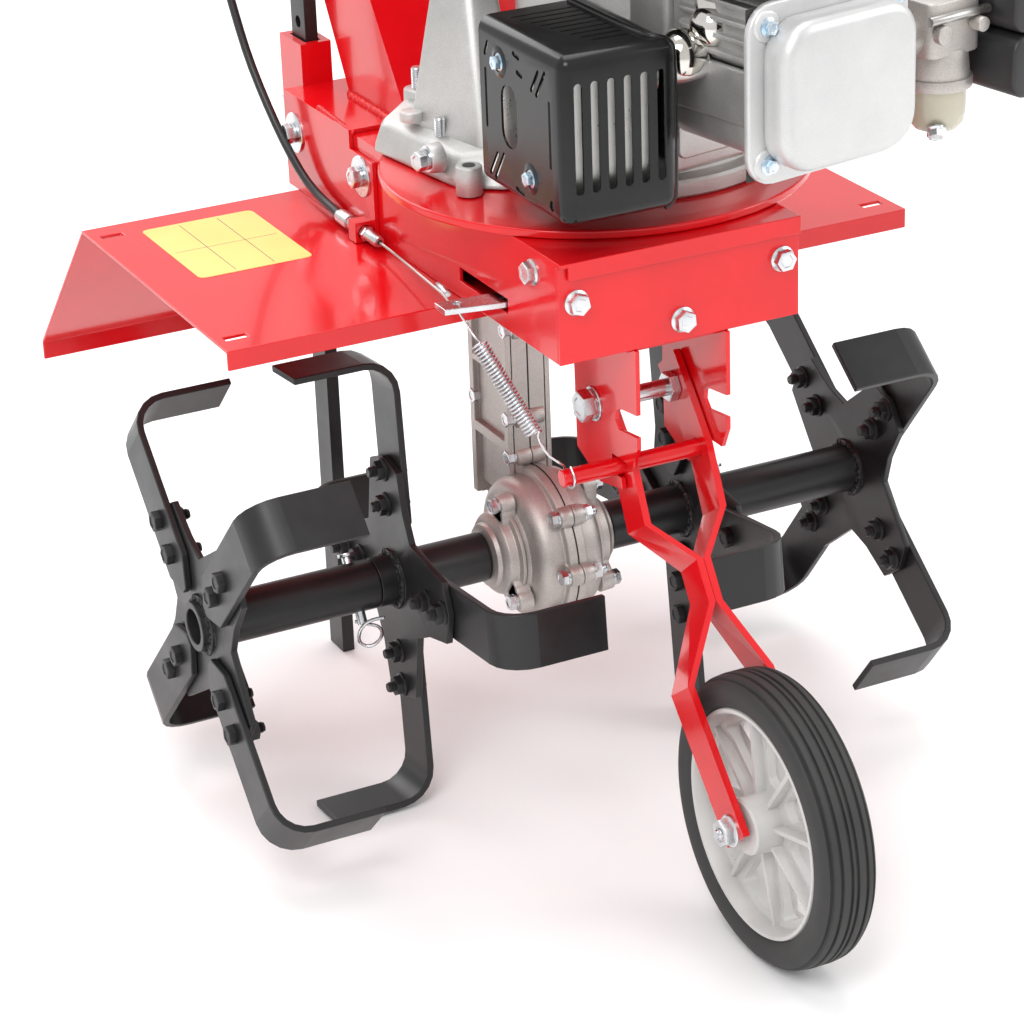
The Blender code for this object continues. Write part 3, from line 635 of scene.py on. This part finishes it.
bm = turned([(78.4, 16.6), (78.4, -16.6), (77.6, -18.0), (75.4, -18.0), (74.4, -16.8),
             (73.2, -8.0), (72.6, 0.0), (73.2, 8.0), (74.4, 16.8), (75.4, 18.0), (77.6, 18.0),
             (78.4, 16.6)], 96)
joined(bm, turned([(5.6, -24), (17.5, -24), (19.2, -22.6), (20.6, -6), (20.6, 6), (19.2, 22.6),
                   (17.5, 24), (11, 24), (10, 21), (5.6, 21), (5.6, -24)], 48))
dish = turned([(19.5, 4.5), (30, 3.0), (60, 3.0), (74, 6.0), (74, -6.0), (60, -3.0), (30, -3.0),
               (19.5, -4.5), (19.5, 4.5)], 96)
cutter = bmesh.new()
for k in range(8):
    part = bmesh.new()
    slab(part, (-9, 27, -12), (9, 67, 12))
    for v in part.verts:
        if v.co.y > 50:
            v.co.x *= 2.25
        else:
            v.co.x *= 0.72
    upright = [e for e in part.edges if abs(e.verts[0].co.z - e.verts[1].co.z) > 1]
    rounded(part, upright, 4.0, 4)
    joined(cutter, part, Matrix.Rotation(math.radians(45.0 * k + 11.0), 4, "Z"))


def loose(name, part):
    """A bmesh as an object of its own, for a boolean to work on."""
    mesh = bpy.data.meshes.new(name)
    part.to_mesh(mesh)
    part.free()
    obj = bpy.data.objects.new(name, mesh)
    scene.collection.objects.link(obj)
    return obj


def carved(body, cutter):
    """Cut one closed bmesh out of another and return what is left."""
    obj, tool = loose("body", body), loose("cutter", cutter)
    op = obj.modifiers.new("carve", "BOOLEAN")
    op.operation = "DIFFERENCE"
    op.solver = "EXACT"
    op.object = tool
    bpy.context.view_layer.update()
    graph = bpy.context.evaluated_depsgraph_get()
    done = bpy.data.meshes.new_from_object(obj.evaluated_get(graph))
    bpy.data.objects.remove(obj)
    bpy.data.objects.remove(tool)
    made = bmesh.new()
    made.from_mesh(done)
    bpy.data.meshes.remove(done)
    return made


joined(bm, carved(dish, cutter))
for k in range(8):
    part = bmesh.new()
    slab(part, (-1.6, 18, -9), (1.6, 73.6, 9))
    for v in part.verts:
        if v.co.y < 40:
            v.co.z *= 1.35
    joined(bm, part, Matrix.Rotation(math.radians(45.0 * k - 11.5), 4, "Z"))
bm.transform(WHEEL)
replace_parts(piece("wheel_rim_made",
                  bm, grey, "wheel", bevel=0.7, angle=35), "wheel_rim")

# the wheel's axle bolt, a washer each side and a locknut
bm = bmesh.new()
rod(bm, (-36, WHEEL_Y, WHEEL_Z), (41, WHEEL_Y, WHEEL_Z), 4.9, segments=20, bevel=0.6)
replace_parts(piece("wheel_axle_rod", bm, zinc), "wheel_axle")
copies("wheel_axle_ends", bolt(across=17.0, head=7.2, washer=11.0, stud=3.0),
       [facing((s * 32.6, WHEEL_Y, WHEEL_Z), (s, 0, 0), 8) for s in (-1, 1)], zinc)
PIVOT_Y, PIVOT_Z = -154.0, 340.0
bm = bmesh.new()
rod(bm, (-36, PIVOT_Y, PIVOT_Z), (37, PIVOT_Y, PIVOT_Z), 5.9, segments=24, bevel=0.6)
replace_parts(piece("pivot_bolt_shank", bm, zinc), "pivot_bolt")
copies("pivot_bolt_ends", bolt(across=19.0, head=8.0, washer=12.0, spring=10.4),
       [facing((s * 35.1, PIVOT_Y, PIVOT_Z), (s, 0, 0), 16) for s in (-1, 1)], zinc)
bm = bmesh.new()
for s in (-1, 1):
    part = bmesh.new()
    bmesh.ops.create_cone(part, cap_ends=True, segments=6, radius1=10.5, radius2=10.5, depth=7)
    joined(bm, part, Matrix.Translation((s * 22.4, PIVOT_Y, PIVOT_Z)) @ Matrix.Rotation(
        math.radians(90), 4, "Y"))
piece("pivot_lock_nuts", bm, zinc, bevel=0.6)

# ------------------------------------------------------------------ engine castings
# A single upright-shaft engine turned ten degrees on its deck: cast base with a tall rib
# and feet, finned cylinder lying to the front, and a smooth die-cast rocker cover.
engine_cast = finish("die cast alloy", (0.48, 0.475, 0.46), (0.60, 0.595, 0.58), 0.42, metal=0.7,
                     grain=1300.0, bump=0.3, patch=18.0, depth=0.0005, speck=0.1)
cover_cast = finish("shot blasted cover", (0.56, 0.56, 0.56), (0.64, 0.64, 0.635), 0.4,
                    metal=0.55, grain=1500.0, bump=0.18, patch=12.0, speck=0.05)
ENGINE = Matrix.Translation((45.0, -62.0, 0.0)) @ Matrix.Rotation(math.radians(10.0), 4, "Z")



def rounded_block(bm, low, high, radius, axis=1, steps=5, soft=0.0):
    """A block whose four edges along one axis are rounded, and its faces' rims softened."""
    part = bmesh.new()
    slab(part, low, high)
    along = [e for e in part.edges
             if abs(e.verts[0].co[axis] - e.verts[1].co[axis]) > 1e-3]
    rounded(part, along, radius, steps)
    if soft:
        rim = [e for e in part.edges if e.calc_face_angle(0) > 1.0]
        rounded(part, rim, soft, 3)
    return joined(bm, part)


bm = bmesh.new()
rounded_block(bm, (-66, -202.0, 513), (66, -196.4, 629), 20, soft=1.6)
rounded_block(bm, (-56, -226.0, 523), (54, -200.0, 619), 24, steps=7, soft=7.0)
COVER_BOLTS = ((-52, 527), (52, 527), (-52, 615), (52, 615))
for x, z in COVER_BOLTS:
    rod(bm, (x, -196.6, z), (x, -204.0, z), 11.5, 10.0, bevel=1.2)
bm.transform(ENGINE)
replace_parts(piece("rocker_cover", bm, cover_cast, angle=40), "valve_cover")
copies("rocker_cover_bolts", bolt(across=8.0, head=3.8, flange=6.2),
       [ENGINE @ facing((x, -204.0, z), (0, -1, 0), 15) for x, z in COVER_BOLTS],
       blue_zinc)
bm = bmesh.new()
slab(bm, (-63, -196.35, 516), (63, -195.4, 626))
bm.transform(ENGINE)
piece("rocker_gasket", bm, gasket, bevel=0.2)

# cylinder and head: a smooth lower block, upright fins over it at the port and level fins
# above, all one casting
bm = bmesh.new()
rounded_block(bm, (-39, -195.9, 574), (39, -96.6, 624.5), 9, axis=1, soft=2.0)
rounded_block(bm, (-40, -195.5, 519), (40, -96.6, 566), 12, axis=1, soft=4.0)
for k in range(8):
    x = -42.0 + 10.6 * k
    rounded_block(bm, (x, -193, 540), (x + 4.4, -104, 577), 2.1, axis=1, soft=0.0)
for k in range(4):
    z = 583.0 + 11.0 * k
    rounded_block(bm, (-45, -188, z), (45, -104, z + 3.4), 9, axis=2, soft=0.8)
bm.transform(ENGINE)
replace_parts(piece("cylinder_made", bm, engine_cast, angle=35), "cylinder_head")

# crankcase: base flange, stepped sump, round body, tall rib, foot, bosses and studs
bm = turned([(0, 472.7), (99, 472.7), (100.5, 474.5), (100.5, 483), (99, 485), (95, 486),
             (93, 488), (93, 494), (91, 497), (86, 500), (81, 508), (76, 518), (74, 530),
             (74, 620), (71, 626), (66, 628), (0, 628)], 96)
rounded_block(bm, (-44, -95.5, 490), (44, -30, 621), 12, axis=1, soft=4.0)
rounded_block(bm, (-36, -98, 500), (36, -90, 540), 6, axis=1, soft=1.5)
bm.transform(ENGINE)
foot = bmesh.new()
for v in ((-102, 38, 472.8), (-62, 66, 472.8), (-20, 66, 472.8), (-20, -86, 472.8),
          (-60, -88, 472.8), (-88, -66, 472.8), (-95, 34, 496), (-60, 58, 504),
          (-24, 58, 506), (-24, -70, 502), (-56, -72, 497), (-80, -54, 492)):
    foot.verts.new(v)
bmesh.ops.convex_hull(foot, input=foot.verts[:])
bmesh.ops.dissolve_limit(foot, angle_limit=math.radians(3), verts=foot.verts, edges=foot.edges)
rounded(foot, foot.edges[:], 4.0, 4)
joined(bm, foot)
rib = bmesh.new()
low = [rib.verts.new(v) for v in
       ((-84, 16, 492), (-66, -62, 492), (-30, -62, 492), (-40, 36, 492))]
crest = [rib.verts.new(v) for v in
         ((-62, 14, 600), (-52, -16, 600), (-30, -20, 600), (-34, 16, 600))]
rib.faces.new(low)
rib.faces.new(crest)
for i in range(4):
    rib.faces.new((low[i], low[(i + 1) % 4], crest[(i + 1) % 4], crest[i]))
bmesh.ops.recalc_face_normals(rib, faces=rib.faces)
rounded(rib, rib.edges[:], 5.0, 3)
joined(bm, rib)
rod(bm, (-59, 51, 480), (-59, 51, 508), 10.5, 9.5, segments=32, bevel=1.2)
for low, high, r, r2, bevel in (((-84, -79, 473), (-84, -79, 493), 9.0, 9.0, 1.2),
                                ((-88, -45, 490), (-98, -45, 490), 10.5, 9.6, 1.0),
                                ((-84, 8, 500), (-84, 8, 507), 8.0, 8.0, 1.0),
                                ((-52, 12, 596), (-52, 12, 628), 17.0, 14.0, 1.5),
                                ((120, -90, 473), (120, -90, 492), 9.0, 9.0, 1.2),
                                ((104, 30, 473), (104, 30, 492), 9.0, 9.0, 1.2)):
    rod(bm, low, high, r, r2, bevel=bevel)
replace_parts(piece("crankcase_made", bm, engine_cast, angle=35), "crankcase")
# two thin dark discs on the tops of the foot bosses: painted shade standing in for the dark
# insides of the bolt holes; no hole is cut
bm = bmesh.new()
rod(bm, (-84, -79, 492.6), (-84, -79, 493.4), 4.4, segments=20)
rod(bm, (120, -90, 491.6), (120, -90, 492.4), 4.4, segments=20)
piece("foot_hole_shade_discs", bm, gasket)
copies("base_side_bolt", bolt(across=12.0, head=6.0, washer=9.0, spring=7.0),
       [facing((-97.6, -45, 490), (-1, -0.15, 0), 12)], zinc)
stud = bolt(across=0.2, head=0.2, stud=15.0)
copies("base_stud", stud, [facing((-59, 51, 508), (0, 0, 1)),
                           facing((-76, -20, 494), (0, 0, 1))], zinc,
       angle=50)

bm = bmesh.new()
rod(bm, (-46, 46, 548), (-40, 40, 566), 6.0, segments=24, bevel=1.0)
rod(bm, (-40, 40, 566), (-35, 35, 582), 7.6, 6.4, segments=24, bevel=1.0)
rod(bm, (-35, 35, 582), (-30, 30, 594), 4.6, segments=24, bevel=0.8)
piece("oil_switch_plug", bm, satin_black, angle=35)

# ------------------------------------------------------------------ exhaust
# A bright pressed silencer box inside a black guard of perforated, louvred sheet; the pipe
# comes off the port in a polished ball-like bend with an upright tube above it.
guard_black = finish("heat proof black", (0.008, 0.008, 0.008), (0.014, 0.014, 0.014), 0.2,
                     grain=600.0, bump=0.05, patch=15.0, shine=0.3)
chrome = finish("blued bright steel", (0.60, 0.56, 0.50), (0.78, 0.77, 0.75), 0.1, metal=1.0,
                grain=500.0, bump=0.03, patch=40.0)
silencer = finish("aluminised sheet", (0.52, 0.51, 0.49), (0.66, 0.65, 0.63), 0.3, metal=0.9,
                  grain=900.0, bump=0.15, patch=24.0)
finished("muffler", silencer, 2.0, angle=35)


def slot_cutter(bm, centre, across, tall, depth, axis, lean=0.0):
    """A round-ended slot tool: across by tall, pushed through along an axis."""
    part = bmesh.new()
    slab(part, (-across / 2, -depth / 2, -tall / 2), (across / 2, depth / 2, tall / 2))
    long_edges = [e for e in part.edges
                  if abs(e.verts[0].co.y - e.verts[1].co.y) > depth * 0.9]
    rounded(part, long_edges, min(across, tall) * 0.49, 4)
    spin = Matrix.Rotation(math.radians(lean), 4, "Y")
    if axis == "x":
        spin = Matrix.Rotation(math.radians(90), 4, "Z") @ spin
    if axis == "z":
        spin = Matrix.Rotation(math.radians(90), 4, "X") @ spin
    joined(bm, part, Matrix.Translation(centre) @ spin)


shell = bmesh.new()
slab(shell, (-87, -222, 491), (-5, -98, 601.4))
rounded(shell, shell.edges[:], 9.0, 5)
rear = shell.verts[:] + shell.edges[:] + shell.faces[:]
bmesh.ops.bisect_plane(shell, geom=rear, dist=1e-4, plane_co=(0, -108, 0), plane_no=(0, 1, 0),
                       clear_outer=True)
bmesh.ops.solidify(shell, geom=shell.faces[:], thickness=1.6)
bmesh.ops.recalc_face_normals(shell, faces=shell.faces)
tool = bmesh.new()
for k in range(6):
    slot_cutter(tool, (-76.0 + 11.6 * k, -221, 548), 5.6, 72, 14, "y")
slot_cutter(tool, (-87, -148, 545), 22, 42, 14, "x")
for y, z, across, tall, lean in (
        (-118, 583, 3.2, 12, -28), (-160, 588, 3.2, 10, 78), (-164, 577, 3.2, 9, 78),
        (-185, 578, 3.0, 20, -35), (-193, 578, 3.0, 24, -35), (-116, 550, 3.0, 40, 0),
        (-204, 548, 3.0, 44, 0), (-124, 508, 3.0, 22, -35), (-132, 508, 3.0, 26, -35),
        (-160, 499, 3.2, 12, 82), (-204, 502, 5.0, 7, 0)):
    slot_cutter(tool, (-87, y, z), across, tall, 12, "x", lean)
for k in range(9):
    slot_cutter(tool, (-49 + 1.2 * k, -124 - 9.0 * k, 601.4), 46 - 2.4 * k, 2.0, 12, "z")
slot_cutter(tool, (-5, -182, 571), 34, 34, 14, "x")
bm = carved(shell, tool)
GUARD_BOLTS = ((-136, 578), (-176, 512))
for y, z in GUARD_BOLTS:
    joined(bm, turned([(6.4, 1.4), (9.5, 1.0), (12.2, -0.2), (14.0, -0.6), (15.2, -0.2),
                       (15.4, 0.4), (6.4, 0.4), (6.4, 1.4)], 36),
           facing((-86.4, y, z), (-1, 0, 0)))
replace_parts(piece("guard_sheet", bm, guard_black, angle=35), "muffler_guard")
wire_line("guard_edge_roll", [(-12, -213, 490.4), (-6.0, -213, 493), (-4.0, -213, 500),
                              (-4.0, -213, 588), (-6.4, -213, 598), (-16, -213, 601.6),
                              (-22, -204, 601.8), (-22, -110, 601.8)], 2.4, guard_black)
copies("guard_bolts", bolt(across=8.5, head=4.2, flange=6.6),
       [facing((-86.0, y, z), (-1, 0, 0), y) for y, z in GUARD_BOLTS],
       blue_zinc)

bm = bmesh.new()
rod(bm, (34, -197, 598), (42, -190, 628), 13.0, 13.0, segments=40, bevel=2.0)
ball = bmesh.ops.create_uvsphere(bm, u_segments=36, v_segments=18, radius=17.0)
bmesh.ops.translate(bm, vec=(15, -190, 580), verts=ball["verts"])
ball = bmesh.ops.create_uvsphere(bm, u_segments=32, v_segments=16, radius=15.0)
bmesh.ops.translate(bm, vec=(33, -198, 598), verts=ball["verts"])
piece("exhaust_bend", bm, chrome, angle=60)

# ------------------------------------------------------------------ fuel and air side
# Carburettor body with a clear settling bowl, held by a bolt and drained by another, the
# air filter box beyond it, the tank behind and the fan housing with its starter on top.
bowl = finish("clear fuel bowl", (0.62, 0.58, 0.44), (0.74, 0.70, 0.56), 0.18, grain=200.0,
              bump=0.02, coat=0.4)
bowl.node_tree.nodes["Principled BSDF"].inputs["Transmission Weight"].default_value = 0.35
moulded = finish("black moulded plastic", (0.016, 0.016, 0.017), (0.026, 0.026, 0.028), 0.42,
                 grain=900.0, bump=0.14, patch=20.0)
bm = bmesh.new()
rounded_block(bm, (112, -174, 552), (158, -134, 590), 7, axis=2, soft=2.0)
rod(bm, (136, -155, 534), (136, -155, 556), 22.0, 20.0, segments=40, bevel=1.5)
rod(bm, (136, -155, 528), (136, -155, 536), 23.5, segments=40, bevel=1.0)
rod(bm, (40.4, -155, 560), (116, -155, 566), 13.0, segments=32, bevel=1.0)
rod(bm, (118, -176, 570), (118, -182, 570), 6.5, segments=24, bevel=0.8)
rod(bm, (150, -174, 572), (150, -184, 572), 5.0, segments=20, bevel=0.6)
bm.transform(ENGINE)
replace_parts(piece("carburettor_made", bm, cast, angle=35), "carburettor")
bm = turned([(0, 498), (10, 498), (15, 500), (18.6, 505), (19.6, 512), (20, 529), (17, 529),
             (16.4, 512), (13, 504), (0, 502)], 48)
bm.transform(ENGINE @ Matrix.Translation((136, -155, 0)))
piece("fuel_bowl", bm, bowl, angle=50)
bm = bmesh.new()
rod(bm, (108, -177, 580), (160, -177, 580), 3.2, segments=20, bevel=0.5)
bm.transform(ENGINE)
piece("throttle_rod", bm, bright)
copies("bowl_bolts", bolt(across=10.0, head=5.0, flange=6.8),
       [ENGINE @ facing((136, -155, 498), (0, 0, -1), 10),
        ENGINE @ facing((124, -168, 503), (-0.5, -0.6, -0.8), 0)], zinc)

bm = bmesh.new()
rounded_block(bm, (162.4, -199.6, 520.4), (228.6, -100.4, 563), 12, axis=1, soft=2.5)
rounded_block(bm, (162.4, -199.6, 564.2), (228.6, -100.4, 605.6), 12, axis=1, soft=2.5)
for k in range(1, 5):
    slab(bm, (228.0, -186 + 15 * k, 530), (229.0, -180 + 15 * k, 598))
rounded_block(bm, (184, -203, 552), (206, -198, 576), 3, axis=1, soft=1.0)
bm.transform(ENGINE)
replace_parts(piece("air_filter_made", bm, moulded, angle=35), "air_filter")

finished("fuel_tank", moulded, 5.0, angle=30, steps=4)
bm = turned([(0, 726), (24, 726), (25, 728), (25, 740), (23, 743), (0, 744)], 40)
for k in range(20):
    a = math.radians(18.0 * k)
    ridge = slab(bm, (-1.6, 24.2, 728), (1.6, 26.0, 741))
    bmesh.ops.rotate(bm, cent=(0, 0, 0), matrix=Matrix.Rotation(a, 3, "Z"), verts=ridge)
bm.transform(ENGINE @ Matrix.Translation((70, 152, 0)))
piece("fuel_cap", bm, moulded, angle=30)

finished("blower_housing", moulded, 5.0, angle=30, steps=4)
bm = turned([(0, 724), (58, 724), (62, 722), (63, 716), (63, 700), (68, 700), (68, 726),
             (64, 730), (30, 734), (0, 735)], 64)
bm.transform(ENGINE)
piece("starter_cover", bm, moulded, angle=35)
bm = bmesh.new()
for k in range(28):
    a = math.radians(360.0 / 28 * k)
    fin = slab(bm, (-1.8, 76, 700.2), (1.8, 104, 703.6))
    bmesh.ops.rotate(bm, cent=(0, 0, 0), matrix=Matrix.Rotation(a, 3, "Z"), verts=fin)
bm.transform(ENGINE)
piece("fan_grille", bm, moulded, bevel=0.6)
bm = bmesh.new()
rounded_block(bm, (-22, 58, 706), (22, 76, 718), 5, axis=0, soft=1.5)
bm.transform(ENGINE)
piece("starter_handle", bm, moulded, angle=40)

# ------------------------------------------------------------------ belt drive
# Two turned steel sheaves and a moulded belt inside the case, and a plated bell crank with
# a roller that the clutch cable swings against the belt through the slot in the side.
finished("driven_pulley", bright, 0.4)
finished("engine_pulley", bright, 0.4)
finished("drive_belt", rubber, 0.5)
finished("idler_arm", zinc, 0.5)

# ------------------------------------------------------------------ clutch cable
# A steel inner wire runs from the bell crank into a ferrule and adjuster on the rear
# channel, then in a black plastic sheath up to the lever on the left arm.
sheath = finish("black cable sheath", (0.012, 0.012, 0.013), (0.020, 0.020, 0.021), 0.35,
                grain=700.0, bump=0.05)
knots = [Vector(p) for p in ((-96.5, 60, 404), (-96.5, 110, 404), (-99, 176, 420),
                             (-108, 232, 484), (-117, 268, 570), (-128, 326, 670),
                             (-150, 430, 772), (-196, 560, 846), (-240, 668, 886),
                             (-263, 742, 907), (-276, 800, 922))]
CABLE_DIAMETER = 6.4
STEPS_BETWEEN_KNOTS = 6
CABLE_ROUTE = []
for i in range(1, len(knots) - 2):
    for step in range(STEPS_BETWEEN_KNOTS):
        t = step / STEPS_BETWEEN_KNOTS
        a, b, c, d = knots[i - 1:i + 3]
        CABLE_ROUTE.append(tuple(0.5 * (2 * b + (c - a) * t + (2 * a - 5 * b + 4 * c - d) * t ** 2
                                        + (3 * b - a - 3 * c + d) * t ** 3)))
CABLE_ROUTE.append(tuple(knots[-2]))
cable_points = [TO_FRAME @ Vector(p) for p in CABLE_ROUTE]
cable_curve = bpy.data.curves.new("clutch_cable", "CURVE")
cable_curve.dimensions = "3D"
cable_curve.bevel_depth = CABLE_DIAMETER / 2000
cable_curve.bevel_resolution = 4
cable_curve.use_fill_caps = True
line = cable_curve.splines.new("POLY")
line.points.add(len(cable_points) - 1)
for spot, p in zip(line.points, cable_points):
    spot.co = (*p, 1.0)
line.use_smooth = True
cable_curve.materials.append(sheath)
cable = bpy.data.objects.new("clutch_cable", cable_curve)
scene.collection.objects.link(cable)
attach(cable, "frame")
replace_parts(cable, "cable_sheath")

bm = turned([(1.7, 0), (3.4, 0), (4.2, 2), (4.2, 48), (5.4, 48.5), (5.4, 64), (4.4, 68),
             (1.7, 68), (1.7, 0)], 32)
bm.transform(facing((-96.5, 44, 404), (0, 1, 0)))
piece("cable_adjuster", bm, zinc)
bm = bmesh.new()
for y, spin in ((63.0, 10), (80.4, 24)):
    nut = turned([(1.7, 0), (5.1, 0), (5.77, 0.7), (5.77, 3.9), (5.1, 4.6), (1.7, 4.6),
                  (1.7, 0)], 6)
    joined(bm, nut, facing((-96.5, y, 404), (0, 1, 0), spin))
piece("adjuster_nuts", bm, zinc, angle=25)
frame["nodes"]["clutch_wire"].data.materials.clear()
frame["nodes"]["clutch_wire"].data.materials.append(bright)
bm = bmesh.new()
rod(bm, (-103, -64, 408.6), (-106.4, -86, 409.6), 2.4, segments=16, bevel=0.5)
piece("wire_crimp", bm, zinc, "clutch_cable_wire")

# ------------------------------------------------------------------ return spring
# Close-wound plated wire, about thirty turns, with a long hook into the bell crank and a
# looped eye round the latch pin; it is always under tension.
start_p, end_p = Vector((-113.0, -124.0, 405.0)), Vector((-80.5, -176.0, 319.0))
axis = (end_p - start_p).normalized()
side_a = axis.cross(Vector((1, 0, 0))).normalized()
side_b = axis.cross(side_a)
TURNS, POINTS_A_TURN, COIL_RADIUS = 28, 12, 5.2
coil = []
for n in range(TURNS * POINTS_A_TURN + 1):
    a = 2 * math.pi * n / POINTS_A_TURN
    coil.append(start_p.lerp(end_p, 0.17 + 0.66 * n / (TURNS * POINTS_A_TURN)) +
                side_a * (COIL_RADIUS * math.cos(a)) + side_b * (COIL_RADIUS * math.sin(a)))
hook = [start_p + Vector((-3, -2, 12)), start_p + Vector((-4, 5, 10)),
        start_p + Vector((-1, 4, 3)), start_p + (end_p - start_p) * 0.06,
        start_p + (end_p - start_p) * 0.13]
tail = [start_p + (end_p - start_p) * 0.87, end_p]
turn_eye = [Vector((-70, -184 + 8.2 * math.cos(a), 306 + 8.2 * math.sin(a)))
            for a in (0.9, 0.0, -0.9, -1.8, -2.7, -3.6, -4.5)]
wire_line("tension_spring", hook + coil + tail + turn_eye, 0.85, zinc,
          resolution=2)
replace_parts(bpy.data.objects["tension_spring"], "return_spring")

# ------------------------------------------------------------------ depth stake
# A flat black bar punched with height holes, held in its sleeve by a headed pin.
finished("depth_stake", satin_black, 1.0)
finished("stake_pin", zinc, 0.8, angle=40)

# ------------------------------------------------------------------ handlebar
# One bent black tube bolted into the column head, ribbed rubber grips, and a plated clutch
# lever pivoted in a clamp under the left grip.
finished("handlebar", satin_black, 0.0)
finished("clutch_lever", bright, 0.0)
for side, sign in (("left", -1), ("right", 1)):
    a = Vector((sign * 272.0, 800.0, 942.0))
    b = Vector((sign * 286.0, 960.0, 986.0))
    e = (b - a).normalized()
    length = (b - a).length
    outline = [(13.2, 52), (16.2, 52), (17, 53), (17, 56)]
    z = 58.0
    while z < length - 10:
        outline += [(15.2, z), (15.2, z + 1.6), (16.6, z + 2.4), (16.6, z + 5.0)]
        z += 6.4
    outline += [(17, length - 6), (17, length - 0.5), (15.4, length + 2.5), (0, length + 2.8),
                (0, length + 0.6), (13.2, length - 1), (13.2, 52)]
    bm = turned(outline, 40)
    bm.transform(Matrix.Translation(a) @ e.to_track_quat("Z", "Y").to_matrix().to_4x4())
    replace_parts(piece("grip_rubber_" + side,
                      bm, rubber, angle=35), "grip_" + side)
bend = Vector((-272.0, 800.0, 942.0))
e = (Vector((-286.0, 960.0, 986.0)) - bend).normalized()
bm = bmesh.new()
rod(bm, bend + e * 18, bend + e * 42, 16.0, segments=32, bevel=1.5)
down = Vector((1, 0, 0)).cross(e).normalized()
down = -down if down.z > 0 else down
pivot = bend + e * 30
rod(bm, pivot + down * 12, pivot + down * 19, 7.5, segments=20, bevel=1.0)
piece("lever_clamp", bm, moulded)

# the sheath's upper end: a stop held to the arm by a clip, then bare wire to the lever
stop_from, stop_to = Vector((-262.4, 740.5, 906.5)), Vector((-268.5, 766, 914))
bm = bmesh.new()
rod(bm, stop_from, stop_to, 4.6, segments=24, bevel=0.6)
piece("cable_stop", bm, zinc)
bm = bmesh.new()
rod(bm, stop_to, pivot + down * 20, 0.9, segments=10)
piece("upper_wire", bm, bright)
lower_bend = Vector((-66, 372, 775))
tube_at = lower_bend.lerp(bend, 0.885)
along = (bend - lower_bend).normalized()
bm = bmesh.new()
rod(bm, tube_at - along * 6, tube_at + along * 6, 14.2, segments=32, bevel=0.8)
reach = (stop_from + stop_to) / 2 - tube_at
rod(bm, tube_at + reach.normalized() * 12, tube_at + reach, 5.2, segments=20, bevel=0.6)
piece("cable_clip", bm, zinc)
copies("handlebar_bolts", bolt(across=13.0, head=5.5, washer=10.0),
       [facing((s * 56.2, y, z), (s, 0, 0), 18) for s in (-1, 1)
        for y, z in ((262.0, 676.0), (238.0, 640.0))], zinc)
bm = bmesh.new()
slab(bm, (-50, 266, 640), (50, 300, 706))
rounded(bm, bm.edges[:], 3.0, 2)
lean, middle = 0.6, 673
bm.transform(Matrix(((1, 0, 0, 0), (0, 1, lean, -lean * middle), (0, 0, 1, 0), (0, 0, 0, 1))))
piece("column_head_block", bm, satin_black, angle=35)
